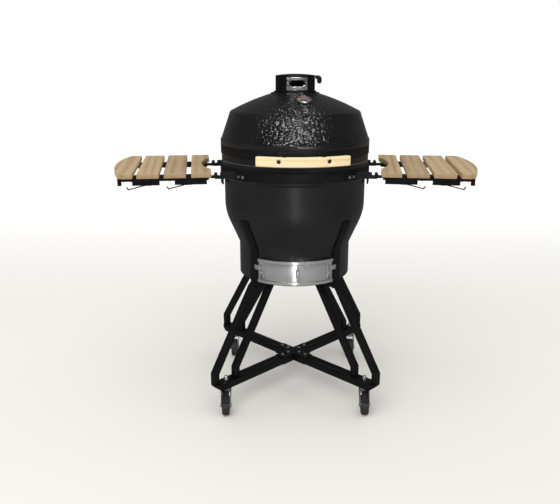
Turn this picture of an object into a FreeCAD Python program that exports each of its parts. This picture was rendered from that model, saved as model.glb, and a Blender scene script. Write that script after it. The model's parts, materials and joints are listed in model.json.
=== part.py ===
"""Kamado ceramic grill on a wheeled cart, with two fold-down side tables.

Frame: +Z up, origin on the floor under the grill's axis, -Y is the front (vent, handle,
thermometer), +Y is the hinge side. Every length is in millimetres, every angle in degrees.
"""
import FreeCAD, Part
import math
import os

V = FreeCAD.Vector
FRONT = -90.0
REAR = 90.0

# ---------------------------------------------------------------- driving dimensions
# overall sizes, which most others follow
BAND_R = 305.0            # outside of both steel bands, the widest part of the body
FOOT_Z = 529.0            # underside of the ceramic foot, on the cart
WHEEL_R = 40.0
# ceramic body
BAND_T = 2.5
SEAM_Z = FOOT_Z + 483.0   # where dome and bowl meet
WALL = 26.0               # ceramic wall
FOOT_R = BAND_R - 71.5
FOOT_H = 132.0
BOWL_R = BAND_R - 13.0    # bowl just below its rim
BOWL_CORNER_Z = FOOT_Z + 266.0  # height where the flared cone would meet the upright wall
BOWL_CORNER_FILLET = 200.0
FLOOR_T = 28.0
RIM_Z = FOOT_Z + 418.0    # underside of the thick bowl rim
# dome
LIP_H = 21.0              # plain ceramic lip above the upper band
SHOULDER_R = BAND_R - 36.5
SHOULDER_Z = FOOT_Z + 661.5
CROWN_R = BAND_R - 48.0
CROWN_Z = FOOT_Z + 677.0
CROWN_BULGE = 4.0         # rise of the crown above a straight cone
NECK_R = 98.0
NECK_Z = FOOT_Z + 742.0
NECK_H = 4.0
FLUE_R = 60.0
# bands and gaskets
LOWER_BAND_Z = FOOT_Z + 423.0
LOWER_BAND_H = 43.0
UPPER_BAND_Z = FOOT_Z + 508.5
UPPER_BAND_H = 36.5
GASKET_T = 2.0
GASKET_W = 20.0
# clearances
SKIN = 0.3                # gap between curved faces that lie on each other
RUN = 0.06                # radial running clearance of pins and axles
SLIDE = 0.5               # clearance of a sliding edge
# fire parts
FIRE_WALL = 20.0
FIRE_BOX_R = BAND_R - 109.0
FIRE_BOX_H = 252.0
FIRE_BOX_TOP_R = BAND_R - 61.0
SHELF_Z = FOOT_Z + 116.0
SHELF_T = 18.0
FIRE_RING_R = BAND_R - 55.0
FIRE_RING_H = 158.0
CHARCOAL_GRATE_R = BAND_R - 139.0
CHARCOAL_GRATE_T = 8.0
SHELF_HOLE_R = CHARCOAL_GRATE_R - 46.0
GRATE_SLOTS = ((8, 0.13, 0.37), (16, 0.43, 0.65), (24, 0.70, 0.93))  # count, from, to
GRATE_SLOT_W = 9.0
GRATE_R = BAND_R - 61.0
GRATE_ROD_R = 4.0
GRATE_BAR_R = 3.0
GRATE_PITCH = 16.0
# lower vent
INLET_HALF = 25.0
INLET_Z = FOOT_Z + 30.0
INLET_H = 52.0
VENT_HALF = 38.6
VENT_Z = FOOT_Z + 2.0
VENT_H = 100.0
VENT_SHEET = 2.0
VENT_RAIL = 4.5
VENT_LIP = 8.5
DOOR_HALF = 31.0
DOOR_T = 1.4
DOOR_TAB_H = 34.0
DOOR_TAB_REACH = 10.0
DOOR_TAB_AT = 2.0
ARM_T = 5.0               # the legs' flat arms, which the vent's wings and door pass over
PAD_LIFT = ARM_T + 1.2    # frame's end pads, out from its back
DOOR_LIFT = PAD_LIFT + 1.7
VENT_DEPTH = DOOR_LIFT + 3.1
SCREEN_HOLE_R = 4.0
WING_Z = FOOT_Z + 52.0
WING_H = 20.0
VENT_SCREW_AT = 35.0
VENT_SCREW_Z = (FOOT_Z + 43.0, FOOT_Z + 86.0)
VENT_SCREW_R = 2.2
VENT_SCREW_DEPTH = 9.0
# lid hinge
HINGE_Y = BAND_R + 33.0
HINGE_Z = FOOT_Z + 492.0
HINGE_PIN_R = 5.0
HINGE_HALF = 14.0
HINGE_BASE_EARS = BAND_R * 9.6 / 61
HINGE_LID_EARS = BAND_R * 7.2 / 61
HINGE_BOSS_R = 13.0
HINGE_BOLT_AT = 11.4
HINGE_BASE_BOLTS = (FOOT_Z + 433.0, FOOT_Z + 455.0)
HINGE_LID_BOLTS = (FOOT_Z + 519.0, FOOT_Z + 536.0)
STRAP_BOLT_R = 3.5
STRAP_T = 3.0             # steel straps that lie on the bands
EAR_T = 5.0
SPRING_R = 10.5
SPRING_WIRE_R = 1.6
SPRING_TURNS = 5
# lid handle
LID_TURN = 4.2            # the lid's front fittings, round from the middle of the vent
HANDLE_R = BAND_R + 57.0
HANDLE_T = 22.0
HANDLE_Z = FOOT_Z + 494.0
HANDLE_H = 36.0
HANDLE_HALF = 29.3
HANDLE_BOLT_AT = 15.0
HANDLE_BOLT_R = 4.0
HANDLE_BOLT_Z = HANDLE_Z + 20.0
HANDLE_TAB_AT = 12.0
# thermometer
THERMO_AT = LID_TURN + 6.0
THERMO_R = 165.0
THERMO_DIAL_R = 29.5
THERMO_H = 11.0
PROBE_R = 4.5
PROBE_LENGTH = 74.0
FACE_Z = 3.0              # dial parts, measured out from the dome
NEEDLE_Z = 4.4
GLASS_Z = 8.2
# chimney cap
CAP_R = 79.5
CAP_WALL = 7.0
CAP_FLANGE_R = 86.0
CAP_FLANGE_T = 5.7
CAP_TOP_Z = FOOT_Z + 806.0
CAP_LID_T = 6.5
CAP_CROWN = 5.5
DRUM_T = 3.5
DRUM_GAP = 0.6
STEM_R = 4.0
WINDOW_T = 1.5
WINDOW_HALF = 31.0
WINDOW_Z = FOOT_Z + 756.0
WINDOW_H = 49.5
OVAL_W = 60.0
OVAL_H = 25.0
OVAL_Z = FOOT_Z + 782.5
LEVER_REACH = 106.0
LEVER_W = 22.0
LEVER_T = 14.0
LEVER_CURL_R = 15.0
LEVER_DROP = 32.0
LEVER_TIP_R = 9.0
CAP_SCREW_AT = 27.0
CAP_SCREW_R = 1.8
# side tables
TABLE_SWEEP = 7.0         # each table swings this far towards the front
TABLE_TOP_Z = FOOT_Z + 466.0
SLAT_T = 18.0
SLAT_HALF = 254.0
SLAT_STARTS = [BAND_R + out for out in (47.0, 141.0, 241.0, 339.0)]
SLAT_ENDS = [BAND_R + out for out in (122.0, 223.0, 322.0, 424.0)]
TABLE_CUTOUT_R = BAND_R + 81.0
TABLE_NOSE_R = 886.0
TABLE_CORNER_R = 28.0
RAIL = 22.0
RAIL_WALL = 1.6
RAIL_AT = BAND_R * 34 / 61  # the ears keep their place between the bracket's bolts
RAIL_START = BAND_R + 55.0
RAIL_END = BAND_R + 401.0
RAIL_TAB_DROP = 16.0
RAIL_TAB_W = 13.0
PIVOT_U = BAND_R + 28.0
PIVOT_Z = FOOT_Z + 436.0
PIVOT_R = 3.0
TONGUE_T = 5.0
TONGUE_BOSS_R = 7.5
HOOK_PLATES = ((63.0, 123.0, 148.0), (243.0, 103.0, 299.0))  # start, length, hook root from the bands
HOOK_PLATE_H = 16.0
HOOK_PLATE_T = 4.0
HOOK_REACH = 62.0
HOOK_DROP = 15.0
HOOK_W = 12.0
HOOK_HALF_T = 1.3
TABLE_SCREW_R = 2.0
TABLE_SCREW_DEPTH = 9.0
# brackets that carry the tables
BRACKET_HALF = 44.5
BRACKET_Z = FOOT_Z + 425.0
BRACKET_H = 27.0
APRON_HALF = 12.0
APRON_Z = FOOT_Z + 387.0
EAR_END_U = BAND_R + 36.0
EAR_LOW_Z = FOOT_Z + 428.0
EAR_H = 26.0
NOTCH_U = BAND_R + 17.0
NOTCH_W = 11.0
NOTCH_DEPTH = 12.0
BRACKET_BOLT_AT = (37.3, 41.7)
BRACKET_BOLT_Z = FOOT_Z + 438.5
# cart
TUBE = 25.0
TUBE_WALL = 2.0
ARM_W = 40.0
ARM_TOP_Z = FOOT_Z + 258.0
SEAT_RING_T = 5.2
SEAT_TOP_Z = FOOT_Z - SEAT_RING_T - 0.6
SEAT_RING_R = BAND_R - 77.0
SEAT_RING_W = 38.0
SEAT_BAR_IN = BAND_R - 185.0
OUTER_POST_R = BAND_R + 153.5
INNER_POST_R = BAND_R + 44.0
LEG_SLOPE = 0.65          # outward run of a leg for each millimetre of drop
OUTER_TOP_R = BAND_R - 58.0
INNER_TOP_R = BAND_R - 171.0
BRACE_W = 50.0
BRACE_H = 28.0
FORK_TOP_Z = 2 * WHEEL_R + 22.0
BRACE_Z = FORK_TOP_Z + 7.0
CROSS_PLATE_T = 3.0
CROSS_PLATE_ARM = 90.0
CROSS_BOLTS = (35.0, 70.0)
CROSS_BOLT_R = 4.0
LEGS = {"front_left": 225.0, "front_right": 315.0, "rear_left": 135.0, "rear_right": 45.0}
# casters
CASTER_RADIUS = BAND_R + 97.0
WHEEL_W = 28.0
HUB_W = 34.0
AXLE_R = 4.0
TRAIL = 30.0
STEM_BOLT_R = 6.0
FORK_GAP = 0.3
FORK_T = 3.0
FORK_DISC_R = 22.0
BRAKE_W = 26.0
BRAKE_PIVOT = (22.0, FORK_TOP_Z - 8.0)
BRAKE_PIN_R = 2.5
ACORN_TOP_Z = BRACE_Z + BRACE_H + 22.0
ACORN_R = 8.6

# ---------------------------------------------------------------- sizes that follow
RIM_R = BAND_R - BAND_T - SKIN  # ceramic under the bands
BOWL_RIM_TOP = SEAM_Z - GASKET_T - SKIN / 2
DOME_RIM_Z = SEAM_Z + GASKET_T + SKIN / 2
STRAP_R = BAND_R + SKIN   # inside face of straps on the bands
STRAP_OUT_R = STRAP_R + STRAP_T
LID_FRONT = FRONT + LID_TURN
CONE_START_Z = FOOT_Z + FOOT_H
CONE_ANGLE = math.atan((BOWL_R - FOOT_R) / (BOWL_CORNER_Z - CONE_START_Z))
BOWL_FLOOR_Z = FOOT_Z + FLOOR_T
FIRE_BOX_Z = BOWL_FLOOR_Z + SKIN
FIRE_BOX_TOP_Z = FIRE_BOX_Z + FIRE_BOX_H
FIRE_RING_TOP_Z = FIRE_BOX_TOP_Z + FIRE_RING_H
UPPER_BAND_TOP = UPPER_BAND_Z + UPPER_BAND_H
LIP_TOP_Z = UPPER_BAND_TOP + LIP_H
NECK_TOP_Z = NECK_Z + NECK_H
FRAME_IN_R = FOOT_R + SKIN  # inside of everything that hugs the foot
DOOR_IN_R = FRAME_IN_R + DOOR_LIFT
CAP_BASE_Z = NECK_TOP_Z + SKIN
SLAT_LOW_Z = TABLE_TOP_Z - SLAT_T
RAIL_LOW_Z = SLAT_LOW_Z - RAIL
BRACE_TOP_Z = BRACE_Z + BRACE_H
BRACE_TIP = OUTER_POST_R + TUBE / 2
CASTER_STEM_Z = FORK_TOP_Z - 15.5
AXLE_Z = WHEEL_R

# ---------------------------------------------------------------- drawing helpers
def outline(start, *steps):
    """Closed wire in the XZ plane. A step of two numbers is a line, of four an arc via."""
    edges = []
    here = V(start[0], 0, start[1])
    for step in steps + (start,):
        end = V(step[-2], 0, step[-1])
        if len(step) == 4:
            edges.append(Part.Arc(here, V(step[0], 0, step[1]), end).toShape())
        elif here.distanceToPoint(end) > 1e-6:
            edges.append(Part.LineSegment(here, end).toShape())
        here = end
    return Part.Wire(edges)


def spin(wire):
    """Solid of revolution about the grill's axis."""
    return Part.Face(wire).revolve(V(0, 0, 0), V(0, 0, 1), 360)


def slab(wire, width, middle=0.0):
    """Extrude an XZ outline along Y, centred on y = middle."""
    solid = Part.Face(wire).extrude(V(0, width, 0))
    solid.translate(V(0, middle - width / 2, 0))
    return solid


def turned(shape, angle, centre=V(0, 0, 0), axis=V(0, 0, 1)):
    copy = shape.copy()
    copy.rotate(centre, axis, angle)
    return copy


def moved(shape, x=0.0, y=0.0, z=0.0):
    copy = shape.copy()
    copy.translate(V(x, y, z))
    return copy


def mirrored_x(shape):
    return shape.mirror(V(0, 0, 0), V(1, 0, 0))


def sector(r_in, r_out, z, height, middle, half):
    """Part of a ring, from middle - half to middle + half degrees about Z."""
    box = outline((r_in, z), (r_out, z), (r_out, z + height), (r_in, z + height))
    solid = Part.Face(box).revolve(V(0, 0, 0), V(0, 0, 1), 2 * half)
    return turned(solid, middle - half)


def disc(radius, z, height, x=0.0, y=0.0):
    return Part.makeCylinder(radius, height, V(x, y, z))


def ring(r_out, r_in, z, height):
    return disc(r_out, z, height).cut(disc(r_in, z - 1, height + 2))


def radial_rod(radius, r_from, r_to, z, angle):
    """Cylinder that points away from the grill's axis."""
    rod = Part.makeCylinder(radius, r_to - r_from, V(r_from, 0, z), V(1, 0, 0))
    return turned(rod, angle)


def cross_rod(radius, x, z, y_from, y_to):
    """Cylinder along Y."""
    return Part.makeCylinder(radius, y_to - y_from, V(x, y_from, z), V(0, 1, 0))


def side_rod(radius, y, z, x_from, x_to):
    """Cylinder along X."""
    return Part.makeCylinder(radius, x_to - x_from, V(x_from, y, z), V(1, 0, 0))


def hexagon(across, height, base=V(0, 0, 0), direction=V(0, 0, 1)):
    """Hexagonal prism, across its flats, standing on base."""
    radius = across / math.sqrt(3)
    corners = []
    for k in range(7):
        angle = math.radians(60 * k)
        corners.append(V(radius * math.cos(angle), radius * math.sin(angle), 0))
    prism = Part.Face(Part.makePolygon(corners)).extrude(V(0, 0, height))
    prism.Placement = FreeCAD.Placement(base, FreeCAD.Rotation(V(0, 0, 1), direction))
    return prism


def fused(shapes):
    whole = shapes[0]
    if len(shapes) > 1:
        whole = whole.multiFuse(shapes[1:])
    return whole.removeSplitter()


def backwards(steps):
    """The steps of the same path walked from its last point to its first."""
    back = []
    for k in range(len(steps) - 1, 0, -1):
        via = steps[k][:-2]
        back.append(via + steps[k - 1][-2:])
    return back


def strip_outline(points, half):
    """Outline of a bar of even thickness that follows points, mitred at its bends."""
    left = []
    right = []
    count = len(points)
    for k in range(count):
        x, z = points[k]
        before = points[max(k - 1, 0)]
        after = points[min(k + 1, count - 1)]
        first = V(x - before[0], 0, z - before[1])
        second = V(after[0] - x, 0, after[1] - z)
        if k == 0:
            first = second
        if k == count - 1:
            second = first
        first.normalize()
        second.normalize()
        middle = first + second
        middle.normalize()
        reach = half / middle.dot(first)
        left.append((x - middle.z * reach, z + middle.x * reach))
        right.append((x + middle.z * reach, z - middle.x * reach))
    loop = left + right[::-1]
    return outline(loop[0], *loop[1:])


# ---------------------------------------------------------------- ceramic bowl
def bowl_side(offset, z_from, z_to):
    """Steps up the bowl's side, moved out by offset, from the foot's corner to z_to."""
    fillet = BOWL_CORNER_FILLET + offset
    reach = fillet * math.tan(CONE_ANGLE / 2)
    shift = offset * math.tan(CONE_ANGLE / 2)
    wall_r = BOWL_R + offset
    corner_z = BOWL_CORNER_Z - shift
    foot_corner = (FOOT_R + offset, CONE_START_Z - shift)
    low = (wall_r - reach * math.sin(CONE_ANGLE), corner_z - reach * math.cos(CONE_ANGLE))
    high = (wall_r, corner_z + reach)
    half = CONE_ANGLE / 2
    middle = (wall_r - fillet * (1 - math.cos(half)), high[1] - fillet * math.sin(half))
    steps = [(FOOT_R + offset, z_from), foot_corner, low]
    if z_to > high[1]:
        steps += [(middle[0], middle[1], high[0], high[1]), (wall_r, z_to)]
        return steps
    end = math.asin((high[1] - z_to) / fillet)
    half_way = (CONE_ANGLE + end) / 2
    steps.append((wall_r - fillet * (1 - math.cos(half_way)), high[1] - fillet * math.sin(half_way),
                  wall_r - fillet * (1 - math.cos(end)), z_to))
    return steps


def vent_screw_places():
    for angle in (FRONT - VENT_SCREW_AT, FRONT + VENT_SCREW_AT):
        for z in VENT_SCREW_Z:
            yield angle, z


def make_bowl():
    outside = bowl_side(0.0, FOOT_Z, RIM_Z - (RIM_R - BOWL_R))
    inside = bowl_side(-WALL, BOWL_FLOOR_Z, RIM_Z)
    rim_in = RIM_R - WALL
    rim = [(RIM_R, RIM_Z), (RIM_R, BOWL_RIM_TOP), (rim_in, BOWL_RIM_TOP),
           (rim_in, RIM_Z + WALL / 2), inside[-1]]
    floor = [(0.0, BOWL_FLOOR_Z)]
    bowl = spin(outline((0.0, FOOT_Z), *(outside + rim + backwards(inside) + floor)))
    inlet = sector(FOOT_R - 2 * WALL, FOOT_R + WALL, INLET_Z, INLET_H, FRONT, INLET_HALF)
    bowl = bowl.cut(inlet)
    for angle, z in vent_screw_places():
        hole = radial_rod(VENT_SCREW_R + RUN, FOOT_R - VENT_SCREW_DEPTH - 1, FOOT_R + 2, z, angle)
        bowl = bowl.cut(hole)
    return bowl


def gasket(z):
    return ring(RIM_R - 2, RIM_R - 2 - GASKET_W, z, GASKET_T)


def band(z, height):
    """Steel band round the ceramic, open at the back where the hinge straps span it."""
    whole = ring(BAND_R, BAND_R - BAND_T, z, height)
    gap = Part.makeBox(12, 40, height + 2, V(-6, BAND_R - 20, z - 1))
    return whole.cut(gap)


# ---------------------------------------------------------------- fire parts
def make_fire_box():
    inner = FIRE_BOX_R - FIRE_WALL
    flare_z = CONE_START_Z + 16
    flare_top = FIRE_BOX_TOP_Z - FIRE_WALL
    seat_r = CHARCOAL_GRATE_R + 4
    box = spin(outline((inner, FIRE_BOX_Z), (FIRE_BOX_R, FIRE_BOX_Z), (FIRE_BOX_R, flare_z),
                       (FIRE_BOX_TOP_R, flare_top), (FIRE_BOX_TOP_R, FIRE_BOX_TOP_Z),
                       (FIRE_BOX_TOP_R - FIRE_WALL, FIRE_BOX_TOP_Z),
                       (FIRE_BOX_TOP_R - FIRE_WALL, flare_top + 6),
                       (seat_r, flare_z + 4), (seat_r, SHELF_Z),
                       (SHELF_HOLE_R, SHELF_Z), (SHELF_HOLE_R, SHELF_Z - SHELF_T),
                       (inner, SHELF_Z - SHELF_T)))
    arch = sector(inner - 20, FIRE_BOX_R + 20, FIRE_BOX_Z - 1, INLET_Z + INLET_H - FIRE_BOX_Z,
                  FRONT, INLET_HALF)
    return box.cut(arch)


def make_charcoal_grate():
    grate = disc(CHARCOAL_GRATE_R, SHELF_Z, CHARCOAL_GRATE_T)
    slots = []
    for count, start, end in GRATE_SLOTS:
        length = (end - start) * CHARCOAL_GRATE_R
        corner = V(start * CHARCOAL_GRATE_R, -GRATE_SLOT_W / 2, SHELF_Z - 1)
        slot = Part.makeBox(length, GRATE_SLOT_W, CHARCOAL_GRATE_T + 2, corner)
        for k in range(count):
            slots.append(turned(slot, 360.0 * k / count))
    return grate.cut(slots)


def make_cooking_grate():
    z = FIRE_RING_TOP_Z + GRATE_ROD_R
    rim = Part.makeTorus(GRATE_R, GRATE_ROD_R, V(0, 0, z))
    bars = [rim]
    for k in range(int(GRATE_R / GRATE_PITCH) + 1):
        x = k * GRATE_PITCH
        half = math.sqrt(max(GRATE_R ** 2 - x ** 2, 0))
        if half < 60:
            continue
        for side in ((x, -x) if k else (0.0,)):
            bars.append(cross_rod(GRATE_BAR_R, side, z, -half, half))
    for y in (-GRATE_R / 2, GRATE_R / 2):
        half = math.sqrt(GRATE_R ** 2 - y ** 2)
        bars.append(side_rod(GRATE_BAR_R, y, z - GRATE_ROD_R + GRATE_BAR_R, -half, half))
    return fused(bars)


# ---------------------------------------------------------------- lower vent
def make_vent_frame():
    back = sector(FRAME_IN_R, FRAME_IN_R + VENT_SHEET, VENT_Z, VENT_H, FRONT, VENT_HALF)
    window_z = INLET_Z - 8
    window = sector(FRAME_IN_R - 5, FRAME_IN_R + 5, window_z, INLET_H + 16, FRONT, INLET_HALF + 2)
    out_r = FRAME_IN_R + VENT_DEPTH
    lip_in = out_r - 1.2
    parts = [back.cut(window)]
    for low in (VENT_Z, VENT_Z + VENT_H - VENT_RAIL):
        parts.append(sector(FRAME_IN_R, out_r, low, VENT_RAIL, FRONT, VENT_HALF))
    lip_h = VENT_LIP + VENT_RAIL
    for low in (VENT_Z, VENT_Z + VENT_H - lip_h):
        parts.append(sector(lip_in, out_r, low, lip_h, FRONT, VENT_HALF))
    pad_half = (VENT_HALF - DOOR_HALF) / 2
    pad_out = FRAME_IN_R + PAD_LIFT
    wing_half = 3.5
    for side in (-1, 1):
        middle = FRONT + side * (VENT_HALF - pad_half)
        parts.append(sector(FRAME_IN_R, pad_out, VENT_Z, VENT_H, middle, pad_half))
        wing_middle = FRONT + side * (VENT_HALF + 1.5)
        parts.append(sector(pad_out, pad_out + 1.2, WING_Z, WING_H, wing_middle, wing_half))
    frame = fused(parts)
    for angle, z in vent_screw_places():
        frame = frame.cut(radial_rod(VENT_SCREW_R + RUN, FRAME_IN_R - 2, FRAME_IN_R + 12, z, angle))
    return frame


def make_vent_screen():
    r_in = FRAME_IN_R + VENT_SHEET + SKIN
    low = INLET_Z - 14
    height = INLET_H + 28
    screen = sector(r_in, r_in + 1, low, height, FRONT, INLET_HALF + 4.5)
    step = math.degrees((2 * SCREEN_HOLE_R + 5) / r_in)
    holes = []
    for row in range(5):
        for column in range(-7, 8):
            angle = FRONT + step * (column + 0.5 * (row % 2) - 0.25)
            z = INLET_Z + INLET_H / 2 + (row - 2) * (2 * SCREEN_HOLE_R + 3)
            holes.append(radial_rod(SCREEN_HOLE_R, r_in - 3, r_in + 4, z, angle))
    return screen.cut(holes)


def make_vent_screws():
    head_at = FRAME_IN_R + PAD_LIFT
    screws = []
    for angle, z in vent_screw_places():
        shank = radial_rod(VENT_SCREW_R, FOOT_R - VENT_SCREW_DEPTH, head_at + 0.5, z, angle)
        head = radial_rod(5.0, head_at, head_at + 1.4, z, angle)
        screws.append(fused([shank, head]))
    return screws


def make_vent_door():
    low = VENT_Z + VENT_RAIL + SLIDE
    height = VENT_H - 2 * (VENT_RAIL + SLIDE)
    sheet = sector(DOOR_IN_R, DOOR_IN_R + DOOR_T, low, height, FRONT, DOOR_HALF)
    middle_r = DOOR_IN_R + DOOR_T / 2
    tab_z = low + (height - DOOR_TAB_H) / 2
    tab = Part.makeBox(DOOR_TAB_REACH, 3, DOOR_TAB_H, V(middle_r, -1.5, tab_z))
    tab_root = Part.makeBox(1.5, 14, DOOR_TAB_H, V(middle_r, -7, tab_z))
    grip = turned(fused([tab, tab_root]), FRONT + DOOR_TAB_AT)
    return fused([sheet, grip])


# ---------------------------------------------------------------- dome
def crown_z(r):
    """Height of the crown's arc at radius r, also used to seat the thermometer."""
    centre_r, centre_z, radius = crown_circle()
    return centre_z + math.sqrt(radius ** 2 - (r - centre_r) ** 2)


def crown_circle():
    start = V(NECK_R, NECK_Z, 0)
    end = V(CROWN_R, CROWN_Z, 0)
    chord = end - start
    length = chord.Length
    radius = (length ** 2 / 4 + CROWN_BULGE ** 2) / (2 * CROWN_BULGE)
    normal = V(-chord.y, chord.x, 0)
    normal.normalize()
    if normal.y < 0:
        normal = normal * -1
    centre = (start + end) * 0.5 - normal * (radius - CROWN_BULGE)
    return centre.x, centre.y, radius


def crown_normal_tilt():
    """Angle between the crown's normal at the thermometer and the vertical."""
    centre_r, centre_z, radius = crown_circle()
    return math.degrees(math.asin((THERMO_R - centre_r) / radius))


def on_crown(shape):
    """Move a shape from the origin, +Z out, to the thermometer's seat on the dome."""
    copy = turned(shape, crown_normal_tilt(), V(0, 0, 0), V(0, 1, 0))
    copy.translate(V(THERMO_R, 0, crown_z(THERMO_R)))
    return turned(copy, FRONT + THERMO_AT)


def make_dome():
    mid_r = (NECK_R + CROWN_R) / 2
    t = WALL - 2
    inner_rim = RIM_R - WALL
    shoulder_mid = (CROWN_R + 8.2, SHOULDER_Z + 9.0)
    inner_mid_r = (FLUE_R + 8 + CROWN_R - 14) / 2
    dome = spin(outline(
        (RIM_R, DOME_RIM_Z), (RIM_R, UPPER_BAND_TOP), (BAND_R, UPPER_BAND_TOP),
        (BAND_R, LIP_TOP_Z - 3), (BAND_R - 0.7, LIP_TOP_Z - 0.9, BAND_R - 3, LIP_TOP_Z),
        (SHOULDER_R, SHOULDER_Z), (shoulder_mid[0], shoulder_mid[1], CROWN_R, CROWN_Z),
        (mid_r, crown_z(mid_r), NECK_R, NECK_Z), (NECK_R, NECK_TOP_Z), (FLUE_R, NECK_TOP_Z),
        (FLUE_R, NECK_Z - t), (FLUE_R + 8, crown_z(NECK_R) - t + 2),
        (inner_mid_r, crown_z(inner_mid_r) - t - 1, CROWN_R - 14, CROWN_Z - t + 3),
        (SHOULDER_R - t, SHOULDER_Z - 14), (inner_rim, UPPER_BAND_TOP), (inner_rim, DOME_RIM_Z)))
    probe_hole = disc(PROBE_R + 1, -80, 100)
    return dome.cut(on_crown(probe_hole))


# ---------------------------------------------------------------- lid hinge
def hinge_ear(points, x, bore):
    """Upright plate in the YZ plane with a round boss about the hinge pin."""
    plate = slab(outline(points[0], *points[1:]), EAR_T)
    boss = cross_rod(HINGE_BOSS_R, HINGE_Y, HINGE_Z, -EAR_T / 2, EAR_T / 2)
    ear = fused([plate, boss])
    ear = ear.cut(cross_rod(bore, HINGE_Y, HINGE_Z, -EAR_T, EAR_T))
    return moved(turned(ear, REAR), x)


def strap_bolt_places(z):
    for angle in (REAR - HINGE_BOLT_AT, REAR + HINGE_BOLT_AT):
        for height in z:
            yield angle, height


def make_hinge_base():
    low = LOWER_BAND_Z + 1
    height = LOWER_BAND_H - 2
    strap = sector(STRAP_R, STRAP_OUT_R, low, height, REAR, HINGE_HALF)
    high = low + height
    profile = [(STRAP_R - 3, low + 4), (STRAP_R - 3, high - 2), (STRAP_R + 6, high + 6),
               (HINGE_Y - 11, HINGE_Z - 6), (HINGE_Y + 11, HINGE_Z - 6), (HINGE_Y - 8, low + 12)]
    bore = HINGE_PIN_R + RUN / 2
    ears = [hinge_ear(profile, side * HINGE_BASE_EARS, bore) for side in (-1, 1)]
    base = fused([strap] + ears)
    for angle, z in strap_bolt_places(HINGE_BASE_BOLTS):
        base = base.cut(radial_rod(STRAP_BOLT_R + RUN, STRAP_R - 2, STRAP_OUT_R + 2, z, angle))
    return base


def make_hinge_lid_bracket():
    low = UPPER_BAND_Z + 2
    height = UPPER_BAND_H - 4
    strap = sector(STRAP_R, STRAP_OUT_R, low, height, REAR, HINGE_HALF)
    high = low + height
    profile = [(STRAP_R - 1, low + 4), (STRAP_R - 1, high - 4), (STRAP_R + 8, high - 4),
               (HINGE_Y + 11, HINGE_Z + 6), (HINGE_Y - 11, HINGE_Z + 2), (HINGE_Y - 13, HINGE_Z + 10)]
    ears = [hinge_ear(profile, side * HINGE_LID_EARS, HINGE_PIN_R + RUN) for side in (-1, 1)]
    bracket = fused([strap] + ears)
    for angle, z in strap_bolt_places(HINGE_LID_BOLTS):
        bracket = bracket.cut(radial_rod(STRAP_BOLT_R + RUN, STRAP_R - 2, STRAP_OUT_R + 2, z, angle))
    return bracket


def strap_bolts(places, strap_out=STRAP_OUT_R):
    """Hexagon-headed bolts that hold a strap to a band."""
    bolts = []
    for angle, z in places:
        shank = radial_rod(STRAP_BOLT_R, BAND_R + RUN, strap_out + 1, z, 0)
        head = hexagon(11.0, 4.5, V(strap_out, 0, z), V(1, 0, 0))
        bolts.append(turned(fused([shank, head]), angle))
    return bolts


def make_hinge_pin():
    reach = HINGE_BASE_EARS + EAR_T / 2
    shank = side_rod(HINGE_PIN_R, HINGE_Y, HINGE_Z, -reach - 1, reach + 6)
    head = side_rod(HINGE_PIN_R + 3, HINGE_Y, HINGE_Z, -reach - 5, -reach - SKIN)
    washer = side_rod(HINGE_PIN_R + 3, HINGE_Y, HINGE_Z, reach + SKIN, reach + 3)
    return fused([shank, head, washer])


def make_hinge_springs():
    """Two torsion springs round the pin that take part of the dome's weight."""
    pitch = 2 * SPRING_WIRE_R + 0.5
    length = pitch * SPRING_TURNS
    helix = Part.makeHelix(pitch, length, SPRING_R)
    section = Part.Wire(Part.makeCircle(SPRING_WIRE_R, V(SPRING_R, 0, 0), V(0, 1, 0)))
    coil = Part.Wire(helix).makePipeShell([section], True, True)
    coil = Part.Solid(coil) if coil.ShapeType == "Shell" else coil
    coil.rotate(V(0, 0, 0), V(0, 1, 0), 90)
    springs = []
    for start in (-HINGE_LID_EARS + EAR_T, HINGE_LID_EARS - EAR_T - length):
        springs.append(moved(coil, start, HINGE_Y, HINGE_Z))
    return springs


# ---------------------------------------------------------------- lid handle
def handle_sides():
    return (LID_FRONT - HANDLE_BOLT_AT, LID_FRONT + HANDLE_BOLT_AT)


def make_handle_bar():
    bar = sector(HANDLE_R - HANDLE_T, HANDLE_R, HANDLE_Z, HANDLE_H, LID_FRONT, HANDLE_HALF)
    bar = bar.makeFillet(3.5, bar.Edges)
    for angle in handle_sides():
        bar = bar.cut(radial_rod(8.0, HANDLE_R - 7, HANDLE_R + 5, HANDLE_BOLT_Z, angle))
        bar = bar.cut(radial_rod(HANDLE_BOLT_R + 0.2, HANDLE_R - HANDLE_T - 5, HANDLE_R,
                                 HANDLE_BOLT_Z, angle))
    return bar


def make_handle_brackets():
    brackets = []
    inner_face = HANDLE_R - HANDLE_T - SKIN
    for side in (-1, 1):
        angle = LID_FRONT + side * HANDLE_BOLT_AT
        base = sector(STRAP_R, STRAP_OUT_R, UPPER_BAND_Z, UPPER_BAND_H - 2, angle, 4.6)
        post = radial_rod(9.0, STRAP_R + 1, inner_face, HANDLE_BOLT_Z, angle)
        tab = Part.makeBox(HANDLE_R - 6 - STRAP_R, 14, 2.5,
                           V(STRAP_R + 1, -7, HANDLE_Z + HANDLE_H + SKIN))
        tab = turned(tab, LID_FRONT + side * HANDLE_TAB_AT)
        bracket = fused([base, post, tab])
        bore = radial_rod(HANDLE_BOLT_R + 0.2, STRAP_R - 2, inner_face + 2, HANDLE_BOLT_Z, angle)
        brackets.append(bracket.cut(bore))
    return brackets


def make_handle_bolts():
    bolts = []
    for angle in handle_sides():
        shank = radial_rod(HANDLE_BOLT_R, BAND_R + RUN, HANDLE_R - 6, HANDLE_BOLT_Z, angle)
        head = radial_rod(7.0, HANDLE_R - 7, HANDLE_R - 3, HANDLE_BOLT_Z, angle)
        bolts.append(fused([shank, head]))
    return bolts


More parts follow.
